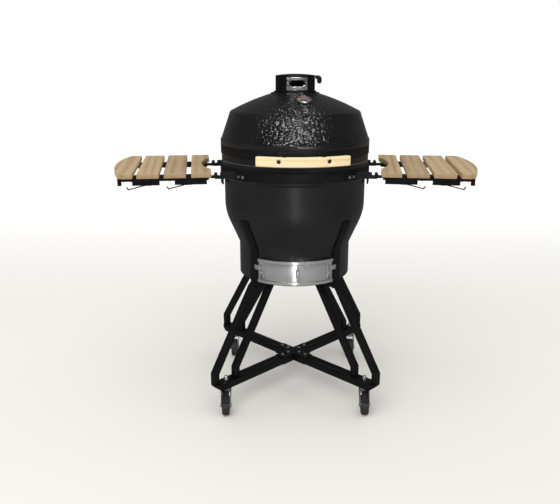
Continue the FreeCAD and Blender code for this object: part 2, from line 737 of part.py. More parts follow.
# ---------------------------------------------------------------- thermometer
def make_thermometer_case():
    outer = THERMO_DIAL_R
    floor = SKIN + 1.5
    lip = GLASS_Z + 1.6
    bore = PROBE_R + RUN
    cup = spin(outline((bore, SKIN), (outer - 2, SKIN), (outer, SKIN + 2), (outer, THERMO_H - 2),
                       (outer - 2, THERMO_H), (outer - 4, THERMO_H), (outer - 4, lip),
                       (outer - 2.6, lip), (outer - 2.6, floor), (bore, floor)))
    return on_crown(cup)


def make_thermometer_face():
    plate = ring(THERMO_DIAL_R - 2.8, 1.0 + RUN, SKIN + 1.5, FACE_Z - SKIN - 1.5)
    return on_crown(plate)


def make_thermometer_needle():
    hub = disc(2.6, NEEDLE_Z - 0.8, 2.0)
    pivot = disc(1.0, FACE_Z - 0.6, NEEDLE_Z - FACE_Z)
    blade = Part.makePolygon([V(-6, -1.4, NEEDLE_Z), V(20, -0.4, NEEDLE_Z), V(20, 0.4, NEEDLE_Z),
                              V(-6, 1.4, NEEDLE_Z), V(-6, -1.4, NEEDLE_Z)])
    blade = Part.Face(blade).extrude(V(0, 0, 0.6))
    needle = turned(fused([hub, pivot, blade]), -45)
    return on_crown(needle)


def make_thermometer_glass():
    return on_crown(disc(THERMO_DIAL_R - 2.8, GLASS_Z, 1.5))


def make_thermometer_probe():
    """Stem through the dome, with the nut that holds the thermometer from inside."""
    stem = disc(PROBE_R, -PROBE_LENGTH, PROBE_LENGTH + SKIN + 1.4)
    tip = Part.makeCone(PROBE_R - 2, PROBE_R, 6, V(0, 0, -PROBE_LENGTH - 6))
    nut = hexagon(19.0, 6.0, V(0, 0, -WALL - 10))
    return on_crown(fused([stem, tip, nut]))


# ---------------------------------------------------------------- chimney cap
def oval(width, height, depth_from, depth_to):
    """Flat-sided oval through the front of the cap."""
    half = (width - height) / 2
    r = height / 2
    wire = outline((-half, OVAL_Z - r), (half, OVAL_Z - r),
                   (half + r, OVAL_Z, half, OVAL_Z + r), (-half, OVAL_Z + r),
                   (-half - r, OVAL_Z, -half, OVAL_Z - r))
    solid = Part.Face(wire).extrude(V(0, depth_to - depth_from, 0))
    solid.translate(V(0, depth_from, 0))
    return turned(solid, LID_TURN)


def make_cap_body():
    flange_top = CAP_BASE_Z + CAP_FLANGE_T
    wall = ring(CAP_R, CAP_R - CAP_WALL, flange_top - 1, CAP_TOP_Z - flange_top + 1)
    flange = ring(CAP_FLANGE_R, FLUE_R, CAP_BASE_Z, CAP_FLANGE_T)
    spokes = [disc(12.0, CAP_BASE_Z, CAP_FLANGE_T)]
    for k in range(3):
        spoke = Part.makeBox(FLUE_R + 4, 9, CAP_FLANGE_T, V(0, -4.5, CAP_BASE_Z))
        spokes.append(turned(spoke, REAR + 120 * k))
    body = fused([wall, flange] + spokes)
    body = body.cut(disc(STEM_R + RUN, CAP_BASE_Z - 1, CAP_FLANGE_T + 2))
    body = body.cut(oval(OVAL_W + 3, OVAL_H + 3, -CAP_R - 5, -CAP_R + CAP_WALL + 14))
    for angle in cap_screw_angles():
        body = body.cut(radial_rod(CAP_SCREW_R + RUN, CAP_R - 6, CAP_R + 2, OVAL_Z, angle))
    return body


def cap_screw_angles():
    return (LID_FRONT - CAP_SCREW_AT, LID_FRONT + CAP_SCREW_AT)


def make_cap_window():
    inner = CAP_R + SKIN
    plate = sector(inner, inner + WINDOW_T, WINDOW_Z, WINDOW_H, LID_FRONT, WINDOW_HALF)
    plate = plate.cut(oval(OVAL_W, OVAL_H, -CAP_R - 5, -CAP_R + 30))
    for angle in cap_screw_angles():
        plate = plate.cut(radial_rod(CAP_SCREW_R + RUN, CAP_R - 6, CAP_R + 6, OVAL_Z, angle))
    return plate


def make_cap_screws():
    seat = CAP_R + SKIN + WINDOW_T
    screws = []
    for angle in cap_screw_angles():
        shank = radial_rod(CAP_SCREW_R, CAP_R - 5, seat + 0.5, OVAL_Z, angle)
        head = Part.makeSphere(4.2, V(seat - 2.4, 0, OVAL_Z))
        head = head.common(Part.makeBox(6, 12, 12, V(seat, -6, OVAL_Z - 6)))
        screws.append(fused([shank, turned(head, angle)]))
    return screws


def make_cap_lid():
    """Domed cover with its thumb lever and the stem it turns on."""
    low = CAP_TOP_Z + SKIN
    edge = low + CAP_LID_T
    rim = CAP_R - 2
    sphere_r = (rim ** 2 + CAP_CROWN ** 2) / (2 * CAP_CROWN)
    mid = rim / 2
    mid_z = edge + CAP_CROWN - sphere_r + math.sqrt(sphere_r ** 2 - mid ** 2)
    cover = spin(outline((0.0, low), (CAP_R, low), (CAP_R, edge - 2), (rim, edge),
                         (mid, mid_z, 0.0, edge + CAP_CROWN)))
    top = edge - 0.8
    under = top - LEVER_T
    curl_x = LEVER_REACH - LEVER_CURL_R
    curl_z = top - LEVER_CURL_R
    diagonal = LEVER_CURL_R * math.sqrt(0.5)
    tip_x = LEVER_REACH - LEVER_TIP_R
    tip_low = top - LEVER_DROP
    lever = slab(outline(
        (CAP_R - 12, low), (CAP_R - 12, top), (curl_x, top),
        (curl_x + diagonal, curl_z + diagonal, LEVER_REACH, curl_z),
        (LEVER_REACH, tip_low + LEVER_TIP_R),
        (tip_x, tip_low, tip_x - LEVER_TIP_R, tip_low + LEVER_TIP_R),
        (tip_x - LEVER_TIP_R, under), (CAP_R + 2, under), (CAP_R + 2, low)), LEVER_W)
    stem = disc(STEM_R, CAP_BASE_Z - 8, low - CAP_BASE_Z + 9)
    nut = hexagon(13.0, 5.0, V(0, 0, CAP_BASE_Z - SKIN - 5))
    return fused([cover, lever, stem, nut])


def make_cap_drum():
    """Sleeve inside the cap that covers or uncovers its front opening."""
    outer = CAP_R - CAP_WALL - DRUM_GAP
    low = CAP_BASE_Z + CAP_FLANGE_T + 1
    drum = ring(outer, outer - DRUM_T, low, CAP_TOP_Z + SKIN - low)
    return drum.cut(oval(OVAL_W + 1, OVAL_H + 1, -outer - 2, -outer + DRUM_T + 20))


# ---------------------------------------------------------------- side tables
def rail_sides():
    return (-RAIL_AT, RAIL_AT)


def screw_rows(start, end):
    third = (end - start) / 4
    return (start + third, end - third)


def table_screw_places():
    for k in range(len(SLAT_STARTS)):
        start = max(SLAT_STARTS[k], RAIL_START)
        end = min(SLAT_ENDS[k], RAIL_END - RAIL_TAB_W)
        for u in screw_rows(start, end):
            for s in rail_sides():
                yield u, s


def make_slats():
    """The right table's four boards, still pointing along +X."""
    slats = []
    low = SLAT_LOW_Z
    cutout = disc(TABLE_CUTOUT_R, low - 1, SLAT_T + 2)
    nose_x = SLAT_ENDS[-1] - TABLE_NOSE_R
    nose = disc(TABLE_NOSE_R, low - 1, SLAT_T + 2, nose_x)
    for k in range(len(SLAT_STARTS)):
        start = SLAT_STARTS[k]
        width = SLAT_ENDS[k] - start
        board = Part.makeBox(width, 2 * SLAT_HALF, SLAT_T, V(start, -SLAT_HALF, low))
        if k == len(SLAT_STARTS) - 1:
            board = board.common(nose)
            board = rounded_uprights(board, TABLE_CORNER_R, lambda x: x > start + width / 3)
            board = rounded_uprights(board, 5.0, lambda x: x < start + 1)
        else:
            board = rounded_uprights(board, 5.0, lambda x: True)
        if k == 0:
            board = board.cut(cutout)
        slats.append(board)
    holes = []
    for u, s in table_screw_places():
        holes.append(disc(TABLE_SCREW_R + RUN, low - 1, TABLE_SCREW_DEPTH + 1.5, u, s))
    return [slat.cut(holes) for slat in slats]


def rounded_uprights(board, radius, wanted):
    """Round the board's upright edges whose x passes the test."""
    edges = []
    for edge in board.Edges:
        ends = edge.Vertexes
        if len(ends) != 2:
            continue
        upright = abs(ends[0].X - ends[1].X) < 1e-6 and abs(ends[0].Y - ends[1].Y) < 1e-6
        if upright and wanted(ends[0].X):
            edges.append(edge)
    return board.makeFillet(radius, edges)


def make_table_frame():
    """Two rails with their pivot tongues, end tabs and tool hooks."""
    frame = []
    mid_z = RAIL_LOW_Z + RAIL / 2
    length = RAIL_END - RAIL_START
    hollow = RAIL - 2 * RAIL_WALL
    for s in rail_sides():
        side = 1 if s > 0 else -1
        tube = Part.makeBox(length, RAIL, RAIL, V(RAIL_START, s - RAIL / 2, RAIL_LOW_Z))
        bore = Part.makeBox(length - 4, hollow, hollow,
                            V(RAIL_START + 4, s - hollow / 2, RAIL_LOW_Z + RAIL_WALL))
        tab = Part.makeBox(RAIL_TAB_W, RAIL, RAIL_TAB_DROP + RAIL,
                           V(RAIL_END - RAIL_TAB_W, s - RAIL / 2, RAIL_LOW_Z - RAIL_TAB_DROP))
        tongue_s = s - side * (EAR_T / 2 + SKIN + TONGUE_T / 2)
        tongue = slab(outline((PIVOT_U, PIVOT_Z - 6), (RAIL_START + 1, mid_z - 6),
                              (RAIL_START + 1, mid_z + 5), (PIVOT_U, PIVOT_Z + 6)), TONGUE_T, tongue_s)
        boss = cross_rod(TONGUE_BOSS_R, PIVOT_U, PIVOT_Z,
                         tongue_s - TONGUE_T / 2, tongue_s + TONGUE_T / 2)
        rail = fused([tube.cut(bore), tab, tongue, boss])
        rail = rail.cut(cross_rod(PIVOT_R + RUN, PIVOT_U, PIVOT_Z,
                                  tongue_s - TONGUE_T, tongue_s + TONGUE_T))
        if side < 0:
            rail = fused([rail] + tool_hooks(s))
        holes = []
        for u, row in table_screw_places():
            if row == s:
                holes.append(disc(TABLE_SCREW_R + RUN, RAIL_LOW_Z - 1, RAIL + 2, u, s))
        frame.append(rail.cut(holes))
    return frame


def tool_hooks(s):
    hooks = []
    low = RAIL_LOW_Z - HOOK_PLATE_H
    plate_s = s - RAIL / 2 + HOOK_PLATE_T / 2
    for out, length, root_out in HOOK_PLATES:
        plate = Part.makeBox(length, HOOK_PLATE_T, HOOK_PLATE_H + 1,
                             V(BAND_R + out, s - RAIL / 2, low))
        root = BAND_R + root_out
        path = [(root - 26, low + 1), (root, low + 0.5), (root + HOOK_REACH, low - HOOK_DROP),
                (root + HOOK_REACH + 7, low - HOOK_DROP + 10)]
        strip = slab(strip_outline(path, HOOK_HALF_T), HOOK_W, plate_s)
        hooks += [plate, strip]
    return hooks


def make_table_screws():
    screws = []
    for u, s in table_screw_places():
        shank = disc(TABLE_SCREW_R, RAIL_LOW_Z - 0.5, RAIL + TABLE_SCREW_DEPTH, u, s)
        head = disc(4.5, RAIL_LOW_Z - 2.4, 2.4, u, s)
        screws.append(fused([shank, head]))
    return screws


def on_right(shapes):
    return [turned(shape, -TABLE_SWEEP) for shape in shapes]


def on_left(shapes):
    return [mirrored_x(shape) for shape in on_right(shapes)]


def make_table_bracket():
    """Strap on the lower band with two notched ears and the pins the table turns on."""
    strap = sector(STRAP_R, STRAP_OUT_R, BRACKET_Z, BRACKET_H, 0, BRACKET_HALF)
    apron = sector(STRAP_R, STRAP_OUT_R, APRON_Z, BRACKET_Z - APRON_Z + 1, 0, APRON_HALF)
    ears = []
    for s in rail_sides():
        side = 1 if s > 0 else -1
        root_u = math.sqrt(STRAP_R ** 2 - (RAIL_AT - EAR_T / 2) ** 2) + 0.6
        top = EAR_LOW_Z + EAR_H
        notch_low = top - NOTCH_DEPTH
        r = NOTCH_W / 2
        ear = slab(outline(
            (root_u, EAR_LOW_Z), (EAR_END_U - 9, EAR_LOW_Z),
            (EAR_END_U - 2, EAR_LOW_Z + 3, EAR_END_U, EAR_LOW_Z + 9),
            (EAR_END_U, top - 8), (EAR_END_U - 4, top), (NOTCH_U + r, top),
            (NOTCH_U + r, notch_low + r), (NOTCH_U, notch_low, NOTCH_U - r, notch_low + r),
            (NOTCH_U - r, top), (root_u, top)), EAR_T, s)
        pin_near = s + side * EAR_T / 2
        pin_far = s - side * (EAR_T / 2 + SKIN + TONGUE_T + 3)
        pin = cross_rod(PIVOT_R, PIVOT_U, PIVOT_Z, min(pin_near, pin_far), max(pin_near, pin_far))
        head_from = s - side * (EAR_T / 2 + SKIN + TONGUE_T + SKIN)
        head = cross_rod(PIVOT_R + 2, PIVOT_U, PIVOT_Z, min(head_from, pin_far), max(head_from, pin_far))
        ears += [ear, pin, head]
    bracket = fused([strap, apron] + ears)
    for angle, z in bracket_bolt_places():
        bracket = bracket.cut(radial_rod(STRAP_BOLT_R + RUN, STRAP_R - 2, STRAP_OUT_R + 2, z, angle))
    return bracket


def bracket_bolt_places():
    for side in (-1, 1):
        for angle in BRACKET_BOLT_AT:
            yield side * angle, BRACKET_BOLT_Z


def make_lower_band_bolts():
    right = [turned(bolt, -TABLE_SWEEP) for bolt in strap_bolts(bracket_bolt_places())]
    left = [mirrored_x(bolt) for bolt in right]
    return right + left + strap_bolts(strap_bolt_places(HINGE_BASE_BOLTS))


# ---------------------------------------------------------------- cart
def make_leg(angle):
    """One leg frame: bar arm up the bowl, seat bar, and two bent tubes down to the brace."""
    seat_low = SEAT_TOP_Z - TUBE
    seat_mid = SEAT_TOP_Z - TUBE / 2
    outer_bend = seat_mid - (OUTER_POST_R - OUTER_TOP_R) / LEG_SLOPE
    inner_bend = seat_mid - (INNER_POST_R - INNER_TOP_R) / LEG_SLOPE
    paths = [[(OUTER_TOP_R, seat_mid), (OUTER_POST_R, outer_bend), (OUTER_POST_R, BRACE_TOP_Z)],
             [(INNER_TOP_R, seat_mid), (INNER_POST_R, inner_bend), (INNER_POST_R, BRACE_TOP_Z)]]
    tubes = []
    bores = []
    for path in paths:
        tubes.append(slab(strip_outline(path, TUBE / 2), TUBE))
        foot = (path[-1][0], path[-1][1] - 5)
        bores.append(slab(strip_outline(path[:-1] + [foot], TUBE / 2 - TUBE_WALL), TUBE - 2 * TUBE_WALL))
    seat = slab(outline((SEAT_BAR_IN, seat_low), (OUTER_TOP_R + 14, seat_low),
                        (OUTER_TOP_R + 4, SEAT_TOP_Z), (SEAT_BAR_IN, SEAT_TOP_Z)), TUBE)
    inner = SKIN + 0.1
    face = bowl_side(inner, seat_low, ARM_TOP_Z)
    back = bowl_side(inner + ARM_T, seat_low, ARM_TOP_Z)
    top = back[-1][-2:]
    arm = slab(outline(face[0], *(face[1:] + [top] + backwards(back))), ARM_W)
    tubes = [tube.cut(ceiling()) for tube in tubes]
    body = fused([seat] + tubes).cut(bores)
    return turned(fused([body, arm]), angle)


def ceiling():
    """Everything above the seat bars, where no tube may reach."""
    return Part.makeBox(700, 100, 200, V(0, -50, SEAT_TOP_Z))


def make_seat_ring():
    return ring(SEAT_RING_R, SEAT_RING_R - SEAT_RING_W, SEAT_TOP_Z, SEAT_RING_T)


def brace_bolt_holes():
    holes = []
    for angle in LEGS.values():
        for r in CROSS_BOLTS:
            hole = disc(CROSS_BOLT_R + 0.2, BRACE_Z - 10, BRACE_H + 20, r)
            holes.append(turned(hole, angle))
        holes.append(turned(disc(STEM_BOLT_R + 0.2, BRACE_Z - 10, BRACE_H + 20, CASTER_RADIUS), angle))
    return holes


def brace_arm(start, angle):
    """Box tube from start out to its slanting end, whose corners are trimmed to the posts."""
    wall = TUBE_WALL
    low = BRACE_Z
    top = BRACE_TOP_Z
    trim = (BRACE_W - TUBE) / 2
    tube = slab(outline((start, low), (BRACE_TIP - BRACE_H, low), (BRACE_TIP, top), (start, top)),
                BRACE_W)
    bore = slab(outline((start - 1, low + wall), (BRACE_TIP - BRACE_H - 3, low + wall),
                        (BRACE_TIP - trim - 3, top - wall), (start - 1, top - wall)),
                BRACE_W - 2 * wall)
    plan = []
    for x, y in ((start, -BRACE_W / 2), (BRACE_TIP - trim, -BRACE_W / 2), (BRACE_TIP, -TUBE / 2),
                 (BRACE_TIP, TUBE / 2), (BRACE_TIP - trim, BRACE_W / 2), (start, BRACE_W / 2),
                 (start, -BRACE_W / 2)):
        plan.append(V(x, y, low))
    envelope = Part.Face(Part.makePolygon(plan)).extrude(V(0, 0, BRACE_H))
    return turned(tube.common(envelope).cut(bore), angle)


def make_brace_long():
    halves = [brace_arm(0.0, LEGS["front_left"]), brace_arm(0.0, LEGS["rear_right"])]
    return fused(halves).cut(brace_bolt_holes())


def make_brace_halves():
    start = BRACE_W / 2 + SKIN
    holes = brace_bolt_holes()
    return [brace_arm(start, LEGS[name]).cut(holes) for name in ("front_right", "rear_left")]


def make_cross_plates():
    plates = []
    for z in (BRACE_Z - CROSS_PLATE_T, BRACE_TOP_Z):
        arms = []
        for angle in (45.0, 135.0):
            arm = Part.makeBox(2 * CROSS_PLATE_ARM, BRACE_W, CROSS_PLATE_T,
                               V(-CROSS_PLATE_ARM, -BRACE_W / 2, z))
            arms.append(turned(arm, angle))
        plates.append(fused(arms).cut(brace_bolt_holes()))
    return plates


def make_cross_bolts():
    bolts = []
    low = BRACE_Z - CROSS_PLATE_T
    top = BRACE_TOP_Z + CROSS_PLATE_T
    for angle in LEGS.values():
        for r in CROSS_BOLTS:
            shank = disc(CROSS_BOLT_R, low - 7, top - low + 8, r)
            head = hexagon(13.0, 5.3, V(r, 0, top))
            nut = hexagon(13.0, 6.0, V(r, 0, low - 6))
            bolts.append(turned(fused([shank, head, nut]), angle))
    return bolts


# ---------------------------------------------------------------- casters
def caster_centre(angle):
    spot = math.radians(angle)
    return CASTER_RADIUS * math.cos(spot), CASTER_RADIUS * math.sin(spot)


def make_caster_stems():
    """Threaded stems with their upper races and domed nuts, fixed to the braces."""
    stems = []
    for angle in LEGS.values():
        x, y = caster_centre(angle)
        stem = disc(STEM_BOLT_R, CASTER_STEM_Z, ACORN_TOP_Z - CASTER_STEM_Z - 3)
        head = disc(10.0, CASTER_STEM_Z - 1, 4.0)
        flange = disc(20.0, FORK_TOP_Z + SKIN, BRACE_Z - FORK_TOP_Z - SKIN)
        nut = hexagon(18.0, 10.0, V(0, 0, BRACE_TOP_Z))
        dome = Part.makeSphere(ACORN_R, V(0, 0, ACORN_TOP_Z - ACORN_R))
        neck = disc(ACORN_R - 0.6, BRACE_TOP_Z + 9, ACORN_TOP_Z - ACORN_R - BRACE_TOP_Z - 9)
        stems.append(moved(fused([stem, head, flange, nut, neck, dome]), x, y))
    return stems


def trailing(shape, angle):
    """Place a caster piece drawn with its trail along +X: every caster trails to the front."""
    x, y = caster_centre(angle)
    return moved(turned(shape, FRONT), x, y)


def make_caster_fork(angle, with_brake):
    inner = HUB_W / 2 + FORK_GAP
    top = FORK_TOP_Z - 8
    crown = disc(FORK_DISC_R, top - 4, 12)
    parts = [crown]
    pivot_x, pivot_z = BRAKE_PIVOT
    for side in (-1, 1):
        middle = side * (inner + FORK_T / 2)
        cheek = slab(outline((-13, top + 2), (pivot_x + 6, top + 2), (pivot_x + 6, pivot_z - 7),
                             (TRAIL + 11, AXLE_Z + 4), (TRAIL + 8, AXLE_Z - 7, TRAIL, AXLE_Z - 11),
                             (TRAIL - 9, AXLE_Z - 6), (-13, top - 8)), FORK_T, middle)
        parts.append(cheek)
    fork = fused(parts)
    fork = fork.cut(disc(STEM_BOLT_R + RUN, AXLE_Z, FORK_TOP_Z))
    fork = fork.cut(cross_rod(AXLE_R + RUN, TRAIL, AXLE_Z, -HUB_W, HUB_W))
    axle = cross_rod(AXLE_R, TRAIL, AXLE_Z, -inner - FORK_T - 1, inner + FORK_T + 1)
    ends = []
    for side in (-1, 1):
        start = side * (inner + FORK_T)
        end = side * (inner + FORK_T + 3.5)
        ends.append(cross_rod(7.0, TRAIL, AXLE_Z, min(start, end), max(start, end)))
    pieces = [fork, fused([axle] + ends)]
    if with_brake:
        fork = fork.cut(cross_rod(BRAKE_PIN_R + RUN, pivot_x, pivot_z, -HUB_W, HUB_W))
        pin = cross_rod(BRAKE_PIN_R, pivot_x, pivot_z, -inner - FORK_T - 1, inner + FORK_T + 1)
        pieces = [fork, pieces[1], pin]
    return [trailing(piece, angle) for piece in pieces]


def make_caster_wheel(angle):
    tread = WHEEL_W / 2
    r = WHEEL_R
    wheel = outline((AXLE_R + RUN, -HUB_W / 2), (11.0, -HUB_W / 2), (12.0, -tread + 4),
                    (r - 10, -tread + 4), (r - 8, -tread), (r - 3, -tread),
                    (r - 0.9, -tread + 0.9, r, -tread + 3), (r, tread - 3),
                    (r - 0.9, tread - 0.9, r - 3, tread), (r - 8, tread), (r - 10, tread - 4),
                    (12.0, tread - 4), (11.0, HUB_W / 2), (AXLE_R + RUN, HUB_W / 2))
    solid = turned(spin(wheel), 90, V(0, 0, 0), V(1, 0, 0))
    return trailing(moved(solid, TRAIL, 0, AXLE_Z), angle)


def make_caster_brake(angle):
    """Foot pedal over the tread, hinged on the fork."""
    x, z = BRAKE_PIVOT
    pedal = slab(outline((x - 4, z + 2), (x + 8, z + 4.5), (x + 30, z - 1), (x + 52, z - 18),
                         (x + 50, z - 21.5), (x + 28, z - 6), (x + 8, z - 3)), BRAKE_W)
    boss = cross_rod(5.0, x, z, -BRAKE_W / 2, BRAKE_W / 2)
    pedal = fused([pedal, boss]).cut(cross_rod(BRAKE_PIN_R + RUN, x, z, -BRAKE_W, BRAKE_W))
    notch = disc(FORK_DISC_R + 1.5, z - 30, 60)
    return trailing(pedal.cut(notch), angle)


# ---------------------------------------------------------------- export
def save(name, shape):
    pieces = shape if isinstance(shape, list) else [shape]
    solids = []
    for piece in pieces:
        solids += piece.Solids
    for solid in solids:
        if not solid.isValid():
            print("not valid:", name)
    whole = solids[0] if len(solids) == 1 else Part.makeCompound(solids)
    whole.exportStep("parts/" + name + ".step")
    print(name, len(solids), "solids", round(sum(solid.Volume for solid in solids) / 1000, 1), "cm3")


def main():
    os.makedirs("parts", exist_ok=True)
    save("bowl_shell", make_bowl())
    save("bowl_gasket", gasket(BOWL_RIM_TOP))
    save("lower_band", band(LOWER_BAND_Z, LOWER_BAND_H))
    save("lower_band_bolts", make_lower_band_bolts())
    save("fire_box", make_fire_box())
    save("fire_ring", ring(FIRE_RING_R, FIRE_RING_R - FIRE_WALL - 2, FIRE_BOX_TOP_Z, FIRE_RING_H))
    save("charcoal_grate", make_charcoal_grate())
    save("cooking_grate", make_cooking_grate())
    save("vent_frame", make_vent_frame())
    save("vent_screen", make_vent_screen())
    save("vent_screws", make_vent_screws())
    save("vent_door", make_vent_door())
    bracket = make_table_bracket()
    save("table_brackets", on_right([bracket]) + on_left([bracket]))
    save("hinge_base", make_hinge_base())
    save("hinge_pin", make_hinge_pin())
    save("hinge_springs", make_hinge_springs())

    save("dome_shell", make_dome())
    save("dome_gasket", gasket(SEAM_Z + SKIN / 2))
    save("upper_band", band(UPPER_BAND_Z, UPPER_BAND_H))
    save("hinge_lid_bracket", make_hinge_lid_bracket())
    save("upper_band_bolts", strap_bolts(strap_bolt_places(HINGE_LID_BOLTS)))
    save("handle_bar", make_handle_bar())
    save("handle_brackets", make_handle_brackets())
    save("handle_bolts", make_handle_bolts())
    save("thermometer_case", make_thermometer_case())
    save("thermometer_face", make_thermometer_face())
    save("thermometer_needle", make_thermometer_needle())
    save("thermometer_glass", make_thermometer_glass())
    save("thermometer_probe", make_thermometer_probe())
    save("cap_body", make_cap_body())
    save("cap_window", make_cap_window())
    save("cap_screws", make_cap_screws())
    save("cap_lid", make_cap_lid())
    save("cap_drum", make_cap_drum())

    slats = make_slats()
    frame = make_table_frame()
    screws = make_table_screws()
    for side, place in (("left", on_left), ("right", on_right)):
        save("table_" + side + "_slats", place(slats))
        save("table_" + side + "_frame", place(frame))
        save("table_" + side + "_screws", place(screws))

    for name, angle in LEGS.items():
        braked = name.startswith("front")
        save("leg_" + name, make_leg(angle))
        save("caster_fork_" + name, make_caster_fork(angle, braked))
        save("caster_wheel_" + name, make_caster_wheel(angle))
        if braked:
            save("caster_brake_" + name, make_caster_brake(angle))
    save("caster_stems", make_caster_stems())
    save("seat_ring", make_seat_ring())
    save("brace_long", make_brace_long())
    save("brace_halves", make_brace_halves())
    save("cross_plates", make_cross_plates())
    save("cross_bolts", make_cross_bolts())


main()
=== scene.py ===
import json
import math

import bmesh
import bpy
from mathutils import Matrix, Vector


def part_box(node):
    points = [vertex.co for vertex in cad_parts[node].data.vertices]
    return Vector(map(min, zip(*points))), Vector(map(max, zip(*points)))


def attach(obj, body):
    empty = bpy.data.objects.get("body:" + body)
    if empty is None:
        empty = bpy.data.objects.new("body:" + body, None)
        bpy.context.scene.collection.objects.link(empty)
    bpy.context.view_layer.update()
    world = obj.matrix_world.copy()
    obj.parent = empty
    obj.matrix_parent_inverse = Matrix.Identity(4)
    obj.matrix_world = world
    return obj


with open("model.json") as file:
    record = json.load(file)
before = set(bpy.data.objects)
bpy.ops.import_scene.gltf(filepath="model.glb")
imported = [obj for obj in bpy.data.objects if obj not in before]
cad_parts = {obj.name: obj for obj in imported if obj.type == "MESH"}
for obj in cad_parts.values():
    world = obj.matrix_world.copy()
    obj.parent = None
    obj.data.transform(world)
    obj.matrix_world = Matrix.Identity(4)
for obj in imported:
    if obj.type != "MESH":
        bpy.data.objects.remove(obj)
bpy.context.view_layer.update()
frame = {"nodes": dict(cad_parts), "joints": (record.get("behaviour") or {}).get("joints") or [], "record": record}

# %% [markdown]
# # A kamado grill
# A kamado is a thick ceramic egg: a bowl that holds the fire, and a domed lid that holds the heat.
# This one stands in a black steel cart and has a folding wooden table on each side. The metal,
# wood and ceramic shapes come ready from the construction model, so this lesson is mostly about
# finishes: what each surface is on the real grill, and how to say that with shader nodes.

nodes = frame["nodes"]
parts = frame["record"]["subparts"]

# %% [markdown]
# ## Smooth and crisp
# A model made of exact surfaces arrives as triangles, and each triangle's corners are its own.
# Light would break at every edge. Joining the corners that lie on one another and shading the
# whole smooth gives round parts a clean highlight.
# No manufactured edge is a perfect knife edge, so a small bevel goes on each sharp corner: it
# catches the thin line of light that tells the eye a part is solid.

# %% Weld and bevel every node
EDGE_ANGLE = math.radians(32)
EDGE_BREAK = {"table_wood": 0.0022, "black_coat": 0.0009, "cast_iron": 0.0010,
              "handle_wood": 0.0, "black_glaze": 0.0012, "fire_clay": 0.0012}
SMALLEST_BREAK = 0.0003
WELD_REACH = 0.00002
slot_of = {part["node"]: part["material_slot"] for part in parts}


def crisp(piece, width):
    """Join the split corners and break the sharp edges."""
    weld = piece.modifiers.new("weld", "WELD")
    weld.merge_threshold = WELD_REACH
    if width > 0:
        bevel = piece.modifiers.new("edge_break", "BEVEL")
        bevel.width = width
        bevel.segments = 2
        bevel.limit_method = "ANGLE"
        bevel.angle_limit = EDGE_ANGLE
        bevel.harden_normals = False
        bevel.use_clamp_overlap = True


for name in nodes:
    crisp(nodes[name], EDGE_BREAK.get(slot_of[name], SMALLEST_BREAK))
print("edges broken on", len(nodes), "nodes")

# %% [markdown]
# ## Small helpers for finishes
# Every finish below is a tree of shader nodes. A few helpers keep the trees short to read: they
# start a finish, add a node and fill in its sockets by name, make a colour ramp, a noise, a bump
# or a sum, and blend two colours.
# All patterns are placed by each node's own coordinates, in metres, so a pattern's scale can be
# thought of as "how many per metre" and it travels with the part when the grill is opened.

# %% Start a finish, add a node, make a ramp
def start_finish(name, roughness, metallic=0.0):
    finish = bpy.data.materials.new(name)
    finish.use_nodes = True
    shader = finish.node_tree.nodes["Principled BSDF"]
    shader.inputs["Roughness"].default_value = roughness
    shader.inputs["Metallic"].default_value = metallic
    return finish, finish.node_tree, shader


def add(tree, kind, sources=None, **settings):
    """Add a node; settings fill sockets or properties, sources link sockets by name."""
    node = tree.nodes.new("ShaderNode" + kind)
    for key, value in settings.items():
        if key in node.inputs:
            node.inputs[key].default_value = value
        else:
            setattr(node, key, value)
    for key, source in (sources or {}).items():
        tree.links.new(source, node.inputs[key])
    return node


def ramp(tree, source, *stops):
    """Map a 0..1 value to colours or greys; a stop is (place, colour)."""
    node = add(tree, "ValToRGB", {"Fac": source})
    band = node.color_ramp
    while len(band.elements) < len(stops):
        band.elements.new(0.5)
    for element, (place, colour) in zip(band.elements, stops):
        element.position = place
        if isinstance(colour, float):
            colour = (colour, colour, colour)
        element.color = (*colour, 1.0)
    return node.outputs["Color"]


def local(tree, scale=(1, 1, 1), turn=0.0):
    """The part's own coordinates in metres, stretched by scale and turned about Z."""
    where = add(tree, "TexCoord").outputs["Object"]
    if turn:
        where = add(tree, "VectorRotate", {"Vector": where}, rotation_type="Z_AXIS",
                    Angle=turn).outputs["Vector"]
    return add(tree, "Mapping", {"Vector": where}, Scale=scale).outputs["Vector"]


def noise(tree, vector, scale, detail=4.0, rough=0.55):
    node = add(tree, "TexNoise", {"Vector": vector}, Scale=scale, Detail=detail, Roughness=rough)
    return node.outputs["Fac"]


def relief(tree, shader, height, depth, strength=1.0, under=None):
    """Bump of the given depth in metres, on top of an earlier one if given."""
    node = add(tree, "Bump", {"Height": height}, Strength=strength, Distance=depth)
    if under is not None:
        tree.links.new(under, node.inputs["Normal"])
    tree.links.new(node.outputs["Normal"], shader.inputs["Normal"])
    return node.outputs["Normal"]


def math_node(tree, operation, *values):
    node = tree.nodes.new("ShaderNodeMath")
    node.operation = operation
    for socket, value in zip(node.inputs, values):
        if isinstance(value, (int, float)):
            socket.default_value = value
        else:
            tree.links.new(value, socket)
    return node.outputs["Value"]


def blend_colours(tree, factor, first, second):
    node = tree.nodes.new("ShaderNodeMix")
    node.data_type = "RGBA"
    tree.links.new(factor, node.inputs[0])
    colour_sockets = [socket for socket in node.inputs if socket.type == "RGBA"]
    for socket, value in zip(colour_sockets, (first, second)):
        if isinstance(value, tuple):
            socket.default_value = (*value, 1.0)
        else:
            tree.links.new(value, socket)
    return [socket for socket in node.outputs if socket.type == "RGBA"][0]


finishes = {}
print("helpers ready")

